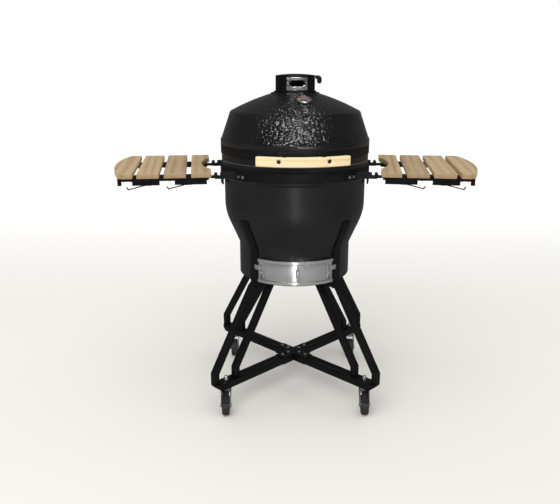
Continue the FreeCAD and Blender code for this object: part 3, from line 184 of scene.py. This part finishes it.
# %% [markdown]
# ## Black glaze
# The egg is fired clay under a thick black glaze. The glaze pulls into a skin of small shallow
# pebbles while it melts, and under one lamp each pebble throws its own spark. Painting sparks
# would freeze them in place, so the pebbles are real relief: a Voronoi pattern, whose cells are
# about a centimetre across, drives a bump, and the low roughness does the rest. The bowl and the
# plain lip above the upper band are wiped smooth before firing, so below the lip's upper edge
# only a trace of the pebbles is left and the gloss is a little softer.

# %% The pebbled glaze of bowl and dome
PEBBLES_PER_METRE = 88.0
PEBBLE_DEPTH = 0.0029
WOBBLE_REACH = 0.006         # how far slow noise pushes the pebbles about
LIP_HEIGHT = 0.021
SMOOTH_SHARE = 0.08          # how much of the pebbles is left on the wiped lip and the bowl
SATIN_EXTRA = 0.14           # roughness that the wiping adds
GLAZE_SHADES = ((0.005, 0.005, 0.0053), (0.0095, 0.0095, 0.0098))
GLAZE_ROUGHNESS = (0.15, 0.24)
GLAZE_SPECULAR = 0.32
lip_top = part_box("upper_band")[1].z + LIP_HEIGHT


def make_glaze():
    finish, tree, shader = start_finish("black_glaze", 0.2)
    where = local(tree)
    warp = add(tree, "TexNoise", {"Vector": where}, Scale=60.0, Detail=2.0)
    shifted = add(tree, "VectorMath", {0: where}, operation="ADD")
    small = add(tree, "VectorMath", {0: warp.outputs["Color"]}, operation="SCALE",
                Scale=WOBBLE_REACH)
    tree.links.new(small.outputs["Vector"], shifted.inputs[1])
    cells = add(tree, "TexVoronoi", {"Vector": shifted.outputs["Vector"]}, feature="SMOOTH_F1",
                Scale=PEBBLES_PER_METRE, Smoothness=0.35, Randomness=1.0)
    pebbles = ramp(tree, cells.outputs["Distance"], (0.0, 1.0), (0.55, 0.35), (1.0, 0.0))
    height = add(tree, "SeparateXYZ", {"Vector": where}).outputs["Z"]
    above_lip = math_node(tree, "GREATER_THAN", height, lip_top - 0.001)
    weight = math_node(tree, "MULTIPLY_ADD", above_lip, 1.0 - SMOOTH_SHARE, SMOOTH_SHARE)
    first = relief(tree, shader, math_node(tree, "MULTIPLY", pebbles, weight), PEBBLE_DEPTH)
    fine = noise(tree, where, 900.0, 3.0)
    relief(tree, shader, fine, 0.00012, 0.6, first)
    cloud = noise(tree, where, 9.0, 5.0)
    colour = ramp(tree, cloud, (0.3, GLAZE_SHADES[0]), (0.7, GLAZE_SHADES[1]))
    tree.links.new(colour, shader.inputs["Base Color"])
    rough = ramp(tree, cloud, (0.35, GLAZE_ROUGHNESS[0]), (0.75, GLAZE_ROUGHNESS[1]))
    satin = math_node(tree, "MULTIPLY_ADD", above_lip, -SATIN_EXTRA, SATIN_EXTRA)
    tree.links.new(math_node(tree, "ADD", rough, satin), shader.inputs["Roughness"])
    shader.inputs["Specular IOR Level"].default_value = GLAZE_SPECULAR
    return finish


finishes["black_glaze"] = make_glaze()
print("glaze pebbles are about", round(1000 / PEBBLES_PER_METRE, 1), "mm across")

# %% [markdown]
# ## Fire clay
# Inside sit the fire box and the ring, cast from coarse unglazed clay. It is dull, slightly
# sandy and freckled with darker grit, and heat leaves faint brown clouds on it.

# %% Bare fire clay
CLAY_DARK = (0.36, 0.27, 0.19)
CLAY_PALE = (0.52, 0.43, 0.33)
GRIT = (0.16, 0.11, 0.08)


def make_fire_clay():
    finish, tree, shader = start_finish("fire_clay", 0.92)
    where = local(tree)
    cloud = noise(tree, where, 14.0, 6.0)
    clay = ramp(tree, cloud, (0.3, CLAY_DARK), (0.7, CLAY_PALE))
    grit = ramp(tree, noise(tree, where, 700.0, 2.0), (0.62, 0.0), (0.70, 1.0))
    colour = blend_colours(tree, grit, clay, GRIT)
    tree.links.new(colour, shader.inputs["Base Color"])
    relief(tree, shader, noise(tree, where, 420.0, 6.0), 0.0006, 0.8)
    return finish


finishes["fire_clay"] = make_fire_clay()
print("fire clay ready")

# %% [markdown]
# ## Coated steel
# Two black coats appear. The bands and straps wear a satin coat; the cart and the table rails
# are powder coated, which melts into a skin with the faint waviness of orange peel. Both get a
# slow noise for that waviness, and a patchy roughness where hands and weather have polished it.

# %% Satin band coat and powder coat
COAT_SPECULAR = 0.14


def make_coat(name, shade, rough_low, rough_high, peel_scale, peel_depth):
    finish, tree, shader = start_finish(name, rough_high)
    where = local(tree)
    patches = noise(tree, where, 16.0, 5.0)
    rough = ramp(tree, patches, (0.3, rough_low), (0.7, rough_high))
    tree.links.new(rough, shader.inputs["Roughness"])
    lighter = tuple(min(1.0, 1.5 * channel + 0.002) for channel in shade)
    colour = ramp(tree, patches, (0.35, shade), (0.85, lighter))
    tree.links.new(colour, shader.inputs["Base Color"])
    peel = relief(tree, shader, noise(tree, where, peel_scale, 2.0), peel_depth, 0.7)
    relief(tree, shader, noise(tree, where, 6 * peel_scale, 2.0), peel_depth / 5, 0.5, peel)
    shader.inputs["Specular IOR Level"].default_value = COAT_SPECULAR
    return finish


# shade, lowest and highest roughness, waves per metre, depth of a wave in metres
coats = {
    "black_band": ((0.004, 0.004, 0.0045), 0.42, 0.58, 260.0, 0.0002),
    "black_coat": ((0.0035, 0.0035, 0.004), 0.38, 0.56, 420.0, 0.0003),
    "brake_plastic": ((0.012, 0.012, 0.012), 0.4, 0.6, 500.0, 0.0002),
}
for name, recipe in coats.items():
    finishes[name] = make_coat(name, *recipe)
print("coats:", ", ".join(coats))

# %% [markdown]
# ## Cast iron
# The chimney cap and the charcoal grate are sand cast and painted black. Sand leaves a grainy
# skin that no other part has, so the grain is deep and close, and the gloss is low.

# %% Painted cast iron
IRON_SHADES = ((0.0015, 0.0015, 0.0015), (0.006, 0.0057, 0.0057))
IRON_SPECULAR = 0.12
GRAINS_PER_METRE = 650.0
GRAIN_DEPTH = 0.0005


def make_cast_iron():
    finish, tree, shader = start_finish("cast_iron", 0.5)
    where = local(tree)
    grain = noise(tree, where, GRAINS_PER_METRE, 5.0, 0.7)
    colour = ramp(tree, grain, (0.3, IRON_SHADES[0]), (0.8, IRON_SHADES[1]))
    tree.links.new(colour, shader.inputs["Base Color"])
    rough = ramp(tree, noise(tree, where, 30.0), (0.3, 0.38), (0.7, 0.58))
    tree.links.new(rough, shader.inputs["Roughness"])
    relief(tree, shader, grain, GRAIN_DEPTH, 0.75)
    shader.inputs["Specular IOR Level"].default_value = IRON_SPECULAR
    return finish


finishes["cast_iron"] = make_cast_iron()
print("cast iron ready")

# %% [markdown]
# ## Bright metals
# The vent and its door are brushed stainless sheet. Rolling leaves fine lines along the sheet,
# which stretch a highlight across them, into the tall bright line down the door. A noise that is
# squeezed across the lines and drawn out along them gives roughness and a very shallow bump. The
# cap's front plate is a darker sheet of the same kind. The plated bolts are the same idea with a
# yellower tint and without a direction, the grate rods are duller, and two sets of screws have a
# finish of their own: near-black in the handle, bright at the vent.

# %% Stainless sheet, zinc plate, rod, spring and forks
SMEARS_PER_METRE = 22.0
SMEAR_DARKENING = 0.88


def make_steel(name, shade, rough_low, rough_high, stretch, scratch_depth):
    finish, tree, shader = start_finish(name, rough_low, 1.0)
    along = local(tree, stretch)
    lines = noise(tree, along, 1.0, 6.0, 0.65)
    rough = ramp(tree, lines, (0.25, rough_low), (0.75, rough_high))
    tree.links.new(rough, shader.inputs["Roughness"])
    smears = noise(tree, local(tree), SMEARS_PER_METRE, 4.0)
    darker = tuple(SMEAR_DARKENING * channel for channel in shade)
    colour = ramp(tree, smears, (0.3, darker), (0.65, shade))
    tree.links.new(colour, shader.inputs["Base Color"])
    relief(tree, shader, lines, scratch_depth, 0.5)
    return finish


SHEET_LINES = (25.0, 25.0, 1500.0)
NO_LINES = (500.0, 500.0, 500.0)
# shade, lowest and highest roughness, noise per metre along each axis, depth of a scratch
steels = {
    "polished_steel": ((0.60, 0.595, 0.59), 0.20, 0.28, SHEET_LINES, 0.00001),
    "case_steel": ((0.66, 0.66, 0.65), 0.12, 0.28, NO_LINES, 0.00003),
    "zinc": ((0.58, 0.58, 0.56), 0.24, 0.42, NO_LINES, 0.00006),
    "grate_steel": ((0.52, 0.52, 0.51), 0.26, 0.45, NO_LINES, 0.00005),
    "spring_steel": ((0.20, 0.20, 0.21), 0.3, 0.5, NO_LINES, 0.00005),
    "fork_steel": ((0.36, 0.36, 0.36), 0.26, 0.46, NO_LINES, 0.00006),
    "handle_bolts": ((0.05, 0.05, 0.05), 0.35, 0.55, NO_LINES, 0.00006),
    "cap_window": ((0.36, 0.355, 0.35), 0.16, 0.28, SHEET_LINES, 0.00004),
    "vent_screws": ((0.80, 0.79, 0.78), 0.10, 0.22, NO_LINES, 0.00003),
}
for name, recipe in steels.items():
    finishes[name] = make_steel(name, *recipe)
print("steels:", ", ".join(steels))

# %% [markdown]
# ## Oiled wood
# The tables are slats of a pale hardwood and the handle is a lighter piece, bent to the dome.
# Wood is a bundle of long fibres: stretched noise along the board gives the streaks, a finer and
# longer one gives the pores, and a board's ends, where the fibres are cut, drink more oil and
# turn darker and more orange. Each slat comes from another plank, so the pattern is shifted and
# the tone changed from slat to slat, by counting slats outwards.

# %% Wood with streaks, pores and end grain
SLAT_PITCH = 0.0995          # from one slat to the next
FIRST_GAP = 0.3375           # where counting starts, from the middle of the grill
TABLE_SWEEP = math.radians(7.0)
SLAT_FIBRES = (38.0, 2.2, 38.0)
HANDLE_FIBRES = (3.0, 3.0, 60.0)


def make_wood(name, pale, deep, turn, side, counts_slats):
    finish, tree, shader = start_finish(name, 0.5)
    where = local(tree, (1, 1, 1), turn)
    place = add(tree, "SeparateXYZ", {"Vector": where})
    out = math_node(tree, "MULTIPLY", place.outputs["X"], side)
    from_gap = math_node(tree, "SUBTRACT", out, FIRST_GAP)
    slat = math_node(tree, "FLOOR", math_node(tree, "DIVIDE", from_gap, SLAT_PITCH))
    plank = add(tree, "TexWhiteNoise", {"W": slat}, noise_dimensions="1D").outputs["Value"]
    if not counts_slats:
        plank = noise(tree, where, 0.4, 0.0)
    fibre = add(tree, "VectorMath", {0: where}, operation="MULTIPLY")
    fibre.inputs[1].default_value = SLAT_FIBRES if counts_slats else HANDLE_FIBRES
    shift = add(tree, "CombineXYZ", {"Y": math_node(tree, "MULTIPLY", plank, 37.0)})
    moved = add(tree, "VectorMath", {0: fibre.outputs["Vector"], 1: shift.outputs["Vector"]},
                operation="ADD").outputs["Vector"]
    streak = noise(tree, moved, 1.0, 5.0, 0.6)
    wave = add(tree, "TexWave", {"Vector": moved}, Scale=0.22, Distortion=7.0, Detail=2.0,
               wave_type="BANDS", bands_direction="X" if counts_slats else "Z").outputs["Fac"]
    figure = math_node(tree, "MULTIPLY_ADD", wave, 0.28, math_node(tree, "MULTIPLY", streak, 0.72))
    colour = ramp(tree, figure, (0.25, deep), (0.52, pale), (0.8, tuple(1.08 * c for c in pale)))
    fine = add(tree, "VectorMath", {0: moved}, operation="SCALE", Scale=14.0).outputs["Vector"]
    pores = ramp(tree, noise(tree, fine, 1.0, 3.0), (0.30, 1.0), (0.42, 0.0))
    dark = tuple(0.45 * channel for channel in deep)
    pore_weight = math_node(tree, "MULTIPLY", pores, 0.35)
    colour = blend_colours(tree, pore_weight, colour, dark)
    tone = ramp(tree, plank, (0.0, 0.86), (1.0, 1.06))
    toned = add(tree, "VectorMath", {0: colour, 1: tone}, operation="MULTIPLY").outputs["Vector"]
    facing = add(tree, "SeparateXYZ", {"Vector": add(tree, "TexCoord").outputs["Normal"]})
    cut_end = math_node(tree, "ABSOLUTE", facing.outputs["Y"])
    ends = ramp(tree, cut_end, (0.55, 0.0), (0.9, 0.7))
    if counts_slats:
        toned = blend_colours(tree, ends, toned, tuple(0.72 * c for c in deep))
    tree.links.new(toned, shader.inputs["Base Color"])
    tree.links.new(ramp(tree, streak, (0.3, 0.56), (0.7, 0.40)), shader.inputs["Roughness"])
    first = relief(tree, shader, streak, 0.0002, 0.6)
    relief(tree, shader, math_node(tree, "SUBTRACT", 1.0, pores), 0.00015, 0.5, first)
    return finish


SLAT_PALE = (0.52, 0.375, 0.21)
SLAT_DEEP = (0.40, 0.25, 0.11)
HANDLE_PALE = (0.93, 0.74, 0.44)
HANDLE_DEEP = (0.80, 0.55, 0.28)
for side_name, side in (("left", -1), ("right", 1)):
    name = "table_wood_" + side_name
    finishes[name] = make_wood(name, SLAT_PALE, SLAT_DEEP, side * TABLE_SWEEP, side, True)
finishes["handle_wood"] = make_wood("handle_wood", HANDLE_PALE, HANDLE_DEEP, 0.0, 1, False)
print("wood ready")

# %% [markdown]
# ## Felt, dial, glass and needle
# The rims meet on strips of pressed felt, which is soft in light, so it gets a little sheen and
# tangled relief. The thermometer's dial is dark, and a ring printed round it shows the heat zones:
# amber on the low side and rose on the rest, so a cook can read it from across a garden. The
# ring is drawn by distance from the needle's pivot, and the side by how far right a point lies.
# The needle is red, and the glass over it all is a thin clear cover that adds a little gloss.

# %% Felt and the thermometer's finishes
AMBER = (0.45, 0.40, 0.11)
ROSE = (0.42, 0.24, 0.27)
DIAL_DARK = (0.05, 0.035, 0.035)
ZONE_IN = 0.0125             # inner radius of the printed ring
ZONE_FLOOR = -0.019          # below this height the ring is left out
pin = [joint for joint in frame["joints"] if joint["name"] == "needle_turn"][0]
dial_centre = Vector(pin["pos_m"])
dial_out = -Vector(pin["axis"])
dial_up = (Vector((0, 0, 1)) - dial_out.z * dial_out).normalized()
dial_right = dial_up.cross(dial_out)


FELT_SHADES = ((0.03, 0.03, 0.032), (0.10, 0.10, 0.105))
FELT_SHEEN = 0.4
GLASS_COVER = 0.12           # share of the glass that hides what lies under it


def make_felt():
    finish, tree, shader = start_finish("felt", 0.95)
    where = local(tree)
    tangle = noise(tree, where, 1400.0, 6.0, 0.7)
    colour = ramp(tree, tangle, (0.3, FELT_SHADES[0]), (0.75, FELT_SHADES[1]))
    tree.links.new(colour, shader.inputs["Base Color"])
    shader.inputs["Sheen Weight"].default_value = FELT_SHEEN
    relief(tree, shader, tangle, 0.0006, 0.9)
    return finish


def make_paint(name, shade, rough):
    finish, tree, shader = start_finish(name, rough)
    speck = noise(tree, local(tree), 1200.0, 3.0)
    colour = ramp(tree, speck, (0.2, tuple(0.88 * c for c in shade)), (0.7, shade))
    tree.links.new(colour, shader.inputs["Base Color"])
    relief(tree, shader, speck, 0.00003, 0.4)
    return finish


def make_clear():
    finish, tree, shader = start_finish("clear_glass", 0.03)
    shader.inputs["Base Color"].default_value = (0.02, 0.02, 0.02, 1.0)
    shader.inputs["Alpha"].default_value = GLASS_COVER
    shader.inputs["IOR"].default_value = 1.45
    smudge = ramp(tree, noise(tree, local(tree), 60.0), (0.4, 0.02), (0.8, 0.09))
    tree.links.new(smudge, shader.inputs["Roughness"])
    return finish


def make_dial():
    """A dark dial with a printed band of heat zones, amber for low heat and rose for high."""
    finish, tree, shader = start_finish("dial", 0.5)
    where = local(tree)
    arm = add(tree, "VectorMath", {0: where}, operation="SUBTRACT")
    arm.inputs[1].default_value = dial_centre
    right = add(tree, "VectorMath", {0: arm.outputs["Vector"]}, operation="DOT_PRODUCT")
    right.inputs[1].default_value = dial_right
    up = add(tree, "VectorMath", {0: arm.outputs["Vector"]}, operation="DOT_PRODUCT")
    up.inputs[1].default_value = dial_up
    reach = add(tree, "VectorMath", {0: arm.outputs["Vector"]}, operation="LENGTH").outputs["Value"]
    lean = math_node(tree, "DIVIDE", right.outputs["Value"], reach)
    zone = ramp(tree, math_node(tree, "MULTIPLY_ADD", lean, 0.5, 0.5),
                (0.0, AMBER), (0.22, AMBER), (0.30, ROSE), (1.0, ROSE))
    band = math_node(tree, "GREATER_THAN", reach, ZONE_IN)
    lower = math_node(tree, "GREATER_THAN", up.outputs["Value"], ZONE_FLOOR)
    colour = blend_colours(tree, math_node(tree, "MULTIPLY", band, lower), DIAL_DARK, zone)
    tree.links.new(colour, shader.inputs["Base Color"])
    relief(tree, shader, noise(tree, where, 1200.0, 3.0), 0.00003, 0.4)
    return finish


finishes["felt"] = make_felt()
finishes["dial"] = make_dial()
finishes["print"] = make_paint("print", (0.02, 0.02, 0.02), 0.5)
finishes["needle"] = make_paint("needle", (0.45, 0.02, 0.015), 0.4)
finishes["clear_glass"] = make_clear()
print("small finishes ready")

# %% [markdown]
# ## Wheels
# A caster's wheel is one piece to look at but two to make: a hard black rubber tread moulded
# round a grey plastic hub. The border between them is a circle about the axle, so the distance
# from the axle picks the finish, and each wheel gets its own copy with its own centre.

# %% Rubber tread on a plastic hub
TREAD_DEPTH = 0.0085
RUBBER = ((0.008, 0.008, 0.008), (0.022, 0.022, 0.021))
HUB_GREY = ((0.045, 0.045, 0.047), (0.075, 0.075, 0.077))


def make_wheel_finish(node_name):
    low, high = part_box(node_name)
    centre = (low + high) / 2
    hub_radius = (high.z - low.z) / 2 - TREAD_DEPTH
    finish, tree, shader = start_finish("wheel_" + node_name, 0.6)
    where = local(tree)
    offset = add(tree, "VectorMath", {0: where}, operation="SUBTRACT")
    offset.inputs[1].default_value = centre
    flat = add(tree, "VectorMath", {0: offset.outputs["Vector"]}, operation="MULTIPLY")
    flat.inputs[1].default_value = (0.0, 1.0, 1.0)
    radius = add(tree, "VectorMath", {0: flat.outputs["Vector"]}, operation="LENGTH")
    is_tread = math_node(tree, "GREATER_THAN", radius.outputs["Value"], hub_radius)
    grain = noise(tree, where, 500.0, 4.0)
    rubber = ramp(tree, grain, (0.3, RUBBER[0]), (0.8, RUBBER[1]))
    hub = ramp(tree, grain, (0.3, HUB_GREY[0]), (0.8, HUB_GREY[1]))
    tree.links.new(blend_colours(tree, is_tread, hub, rubber), shader.inputs["Base Color"])
    rough = ramp(tree, is_tread, (0.0, 0.38), (1.0, 0.68))
    tree.links.new(rough, shader.inputs["Roughness"])
    relief(tree, shader, grain, 0.0003, 0.6)
    return finish


for name in nodes:
    if slot_of[name] == "wheel_rubber":
        finishes[name] = make_wheel_finish(name)
print("wheel finishes ready")

# %% [markdown]
# ## The dial's print
# The dial is printed with a scale: short ticks, a longer one at each number, and numbers that
# run clockwise from where the cold needle points. Ink on a real dial is a film, so the marks are
# thin solids lying on the face. The needle's joint gives the dial's middle and which way it
# faces, and the needle's own tip gives the start of the scale.

# %% Ticks and numbers on the dial
DIAL_FACE = 0.003            # the face's height over the joint's own point
INK = 0.00012
LIFT = 0.00002               # a hair's gap between ink and face
SCALE_SWEEP = math.radians(270)
LAST_NUMBER = 350
NUMBER_STEP = 50
TICKS_PER_NUMBER = 5
TICK_OUT = 0.0245
NUMBERS_IN = 0.0078          # from the ticks' outer ends to the middle of a number
NUMBER_HEIGHT = 0.0052
LONG_TICK = (0.0042, 0.0009)
SHORT_TICK = (0.0022, 0.0005)
needle_points = [corner.co - dial_centre for corner in nodes["thermometer_needle"].data.vertices]
tip = max(needle_points, key=lambda arm: (arm - arm.dot(dial_out) * dial_out).length)
scale_start = math.atan2(tip.dot(dial_right), tip.dot(dial_up))


def on_dial(right, up, out):
    return dial_centre + right * dial_right + up * dial_up + (DIAL_FACE + out) * dial_out


def add_tick(mesh, clock, length, width):
    """A bar of ink along the radius at a clock angle, measured from the top."""
    across = Vector((math.cos(clock), -math.sin(clock)))
    along = Vector((math.sin(clock), math.cos(clock)))
    rings = []
    for out in (LIFT, INK):
        ring = []
        for side, reach in ((-1, 0), (1, 0), (1, 1), (-1, 1)):
            spot = (TICK_OUT - reach * length) * along + side * width / 2 * across
            ring.append(mesh.verts.new(on_dial(spot.x, spot.y, out)))
        rings.append(ring)
    low, high = rings
    mesh.faces.new(list(reversed(low)))
    mesh.faces.new(high)
    for k in range(4):
        after = (k + 1) % 4
        mesh.faces.new((low[k], low[after], high[after], high[k]))


def add_number(mesh, clock, number):
    letters = bpy.data.curves.new("number", "FONT")
    letters.body = str(number)
    letters.align_x = "CENTER"
    letters.align_y = "CENTER"
    letters.size = NUMBER_HEIGHT
    letters.extrude = INK / 2
    holder = bpy.data.objects.new("number", letters)
    solid = bpy.data.meshes.new_from_object(holder)
    reach = TICK_OUT - NUMBERS_IN
    for corner in solid.vertices:
        right = corner.co.x + reach * math.sin(clock)
        up = corner.co.y + reach * math.cos(clock)
        corner.co = on_dial(right, up, corner.co.z + INK / 2 + LIFT)
    mesh.from_mesh(solid)
    bpy.data.objects.remove(holder)
    bpy.data.curves.remove(letters)
    bpy.data.meshes.remove(solid)


def make_dial_marks():
    ink = bmesh.new()
    tick_count = LAST_NUMBER // NUMBER_STEP * TICKS_PER_NUMBER
    for k in range(tick_count + 1):
        clock = scale_start + SCALE_SWEEP * k / tick_count
        if k % TICKS_PER_NUMBER == 0:
            add_tick(ink, clock, *LONG_TICK)
            add_number(ink, clock, k // TICKS_PER_NUMBER * NUMBER_STEP)
        else:
            add_tick(ink, clock, *SHORT_TICK)
    mesh = bpy.data.meshes.new("dial_marks")
    ink.to_mesh(mesh)
    ink.free()
    marks = bpy.data.objects.new("dial_marks", mesh)
    bpy.context.scene.collection.objects.link(marks)
    mesh.materials.append(finishes["print"])
    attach(marks, "lid")
    return tick_count + 1


print("dial ticks:", make_dial_marks())

# %% [markdown]
# ## Dress every node
# Each node asks the parts list for its slot, and the slot for its finish. The tables and wheels
# have finishes of their own, so a node's own name, or its side, is looked up first.

# %% Put the finishes on
def dress(piece, finish):
    piece.data.materials.clear()
    piece.data.materials.append(finish)


for name, slot in slot_of.items():
    if name in finishes:
        dress(nodes[name], finishes[name])
    elif slot == "table_wood":
        dress(nodes[name], finishes["table_wood_" + name.split("_")[1]])
    else:
        dress(nodes[name], finishes[slot])
    nodes[name].data.shade_smooth()
print("dressed", len(slot_of), "nodes")

# %% [markdown]
# ## Floor
# The grill stands on a wide sheet of warm off-white paper. In a studio that sheet curves up behind
# the object and fades into a white wall. Here it stays flat, and its colour pales with distance
# instead, which looks the same and leaves nothing standing behind the grill.

# %% A pale floor
FLOOR_HALF = 9.0
FLOOR_NEAR = (0.80, 0.777, 0.74)
FLOOR_FAR = (0.985, 0.985, 0.980)
PALING = (0.7, 4.3)          # metres behind the grill where the paling starts and ends
FLOOR_SPECULAR = 0.1


def make_floor():
    """Warm paper that pales to white behind the grill, where it would curve up as a backdrop."""
    sheet = bmesh.new()
    corners = []
    for x, y in ((-1, -1), (1, -1), (1, 1), (-1, 1)):
        corners.append(sheet.verts.new((x * FLOOR_HALF, y * FLOOR_HALF, 0.0)))
    sheet.faces.new(corners)
    mesh = bpy.data.meshes.new("floor")
    sheet.to_mesh(mesh)
    sheet.free()
    floor = bpy.data.objects.new("floor", mesh)
    bpy.context.scene.collection.objects.link(floor)
    finish, tree, shader = start_finish("floor", 0.9)
    where = local(tree)
    back = add(tree, "SeparateXYZ", {"Vector": where}).outputs["Y"]
    paling = add(tree, "MapRange", {"Value": back}, interpolation_type="SMOOTHSTEP")
    paling.inputs["From Min"].default_value, paling.inputs["From Max"].default_value = PALING
    mottle = noise(tree, where, 1.3)
    near = ramp(tree, mottle, (0.3, tuple(0.99 * c for c in FLOOR_NEAR)), (0.7, FLOOR_NEAR))
    colour = blend_colours(tree, paling.outputs["Result"], near, FLOOR_FAR)
    tree.links.new(colour, shader.inputs["Base Color"])
    shader.inputs["Specular IOR Level"].default_value = FLOOR_SPECULAR
    mesh.materials.append(finish)
    floor.visible_glossy = False


make_floor()
print("floor laid,", 2 * FLOOR_HALF, "m across")

# %% [markdown]
# ## Light
# A studio shot of a black, glossy object is a picture of its lights: the surface shows almost
# nothing but what it mirrors. So the light that falls on things and the light that is mirrored
# are set apart, as is done in a studio with cards and flags:
# - a soft overhead light and one large window light the wood, the floor and the shapes
# - four small lamps high in front, and one above, show only in gloss, and each pebble of the
#   glaze turns them into a spark
# - a tall thin strip low in front draws the bright line down the vent, and a card to the right
#   lights the cap's front plate
# - the surround is white to look at, but gloss sees a dim ceiling and pale paper below the
#   horizon, which gives the black glaze its even dark grey

# %% Lamps
middle = Vector((0.0, 0.0, 0.75))
dome_side = Vector((0.0, -0.25, 1.15))
foot_front = Vector((0.0, -0.23, 0.58))
SPARK_SIZE = (0.3, 0.3)


def lamp(name, place, size, power, mirrored, target=middle):
    """A softbox that either shows in gloss alone, or lights surfaces and shows in no gloss."""
    light = bpy.data.lights.new(name, "AREA")
    light.shape = "RECTANGLE"
    light.size, light.size_y = size
    light.energy = power
    holder = bpy.data.objects.new(name, light)
    holder.location = place
    holder.rotation_euler = (target - Vector(place)).to_track_quat("-Z", "Y").to_euler()
    holder.visible_glossy = mirrored
    holder.visible_diffuse = not mirrored
    bpy.context.scene.collection.objects.link(holder)


def sun(name, pitch, yaw, strength, softness):
    light = bpy.data.lights.new(name, "SUN")
    light.energy = strength
    light.angle = math.radians(softness)
    holder = bpy.data.objects.new(name, light)
    holder.rotation_euler = (math.radians(pitch), 0.0, math.radians(yaw))
    holder.visible_glossy = False
    bpy.context.scene.collection.objects.link(holder)


sun("ceiling", 28.0, -10.0, 0.75, 60.0)
lamp("window", (-1.2, -2.8, 3.0), (2.0, 2.0), 28.0, False)
for x, power in ((-1.5, 28.0), (-0.4, 40.0), (0.5, 40.0), (1.6, 28.0)):
    lamp("spark " + str(x), (x, -3.2, 2.9), SPARK_SIZE, power, True, dome_side)
lamp("crown spark", (0.2, 0.2, 4.2), SPARK_SIZE, 30.0, True, dome_side)
lamp("vent streak", (0.0, -2.05, 0.02), (0.09, 1.3), 5.0, True, foot_front)
lamp("cap card", (1.7, -4.0, 1.25), (0.5, 0.4), 3.0, True, dome_side)

# %% The surround
SEEN = 1.0                   # brightness of the surround to the eye
SPREAD = 0.88                # and to surfaces that it lights
CEILING_GLOW = 0.15          # what gloss sees above
FLOOR_GLOW = 0.42            # and what pale paper adds to it below
HORIZON = (0.06, -0.12)      # heights between which one turns into the other
surround = bpy.data.worlds.new("surround")
bpy.context.scene.world = surround
surround.use_nodes = True
air = surround.node_tree
rays = air.nodes.new("ShaderNodeLightPath")


def surround_light(strength):
    glow = add(air, "Background", Color=(1.0, 1.0, 1.0, 1.0))
    if isinstance(strength, float):
        glow.inputs["Strength"].default_value = strength
    else:
        air.links.new(strength, glow.inputs["Strength"])
    return glow.outputs["Background"]


def mirrored_glow():
    """What gloss sees: a dim ceiling, and below the horizon pale paper, brightest in front."""
    heading = add(air, "SeparateXYZ", {"Vector": add(air, "TexCoord").outputs["Generated"]})
    below = add(air, "MapRange", {"Value": heading.outputs["Z"]}, interpolation_type="SMOOTHSTEP")
    below.inputs["From Min"].default_value, below.inputs["From Max"].default_value = HORIZON
    facing = math_node(air, "MULTIPLY_ADD", heading.outputs["Y"], -0.5, 0.5)
    front = math_node(air, "POWER", facing, 1.5)
    paper = math_node(air, "MULTIPLY", below.outputs["Result"], front)
    return math_node(air, "MULTIPLY_ADD", paper, FLOOR_GLOW, CEILING_GLOW)


def choose(ray_kind, otherwise, then):
    mixer = air.nodes.new("ShaderNodeMixShader")
    air.links.new(rays.outputs[ray_kind], mixer.inputs[0])
    air.links.new(otherwise, mixer.inputs[1])
    air.links.new(then, mixer.inputs[2])
    return mixer.outputs["Shader"]


lit = choose("Is Glossy Ray", surround_light(SPREAD), surround_light(mirrored_glow()))
whole = choose("Is Camera Ray", lit, surround_light(SEEN))
air.links.new(whole, air.nodes["World Output"].inputs["Surface"])
bpy.context.scene.view_settings.view_transform = "Standard"
print("surround: spread", SPREAD, "ceiling", CEILING_GLOW, "paper", FLOOR_GLOW)

# %% [markdown]
# ## Camera
# The camera stands at a tall person's chest, a little left of the middle, and looks down about
# 16 degrees with a normal lens, so the dome's crown, the tables' tops and the cart all show.

# %% Camera
CAMERA_AT = Vector((-0.0715, -2.701, 1.3816))
LOOK_DOWN = 0.28092          # radians
LOOK_RIGHT = 0.00376
LENS = 41.71
camera = bpy.data.objects.new("camera", bpy.data.cameras.new("camera"))
camera.data.sensor_width = 36.0
camera.data.lens = LENS
camera.location = CAMERA_AT
camera.rotation_euler = (math.pi / 2 - LOOK_DOWN, 0.0, -LOOK_RIGHT)
bpy.context.scene.collection.objects.link(camera)
bpy.context.scene.camera = camera
print("camera lens", camera.data.lens, "mm")
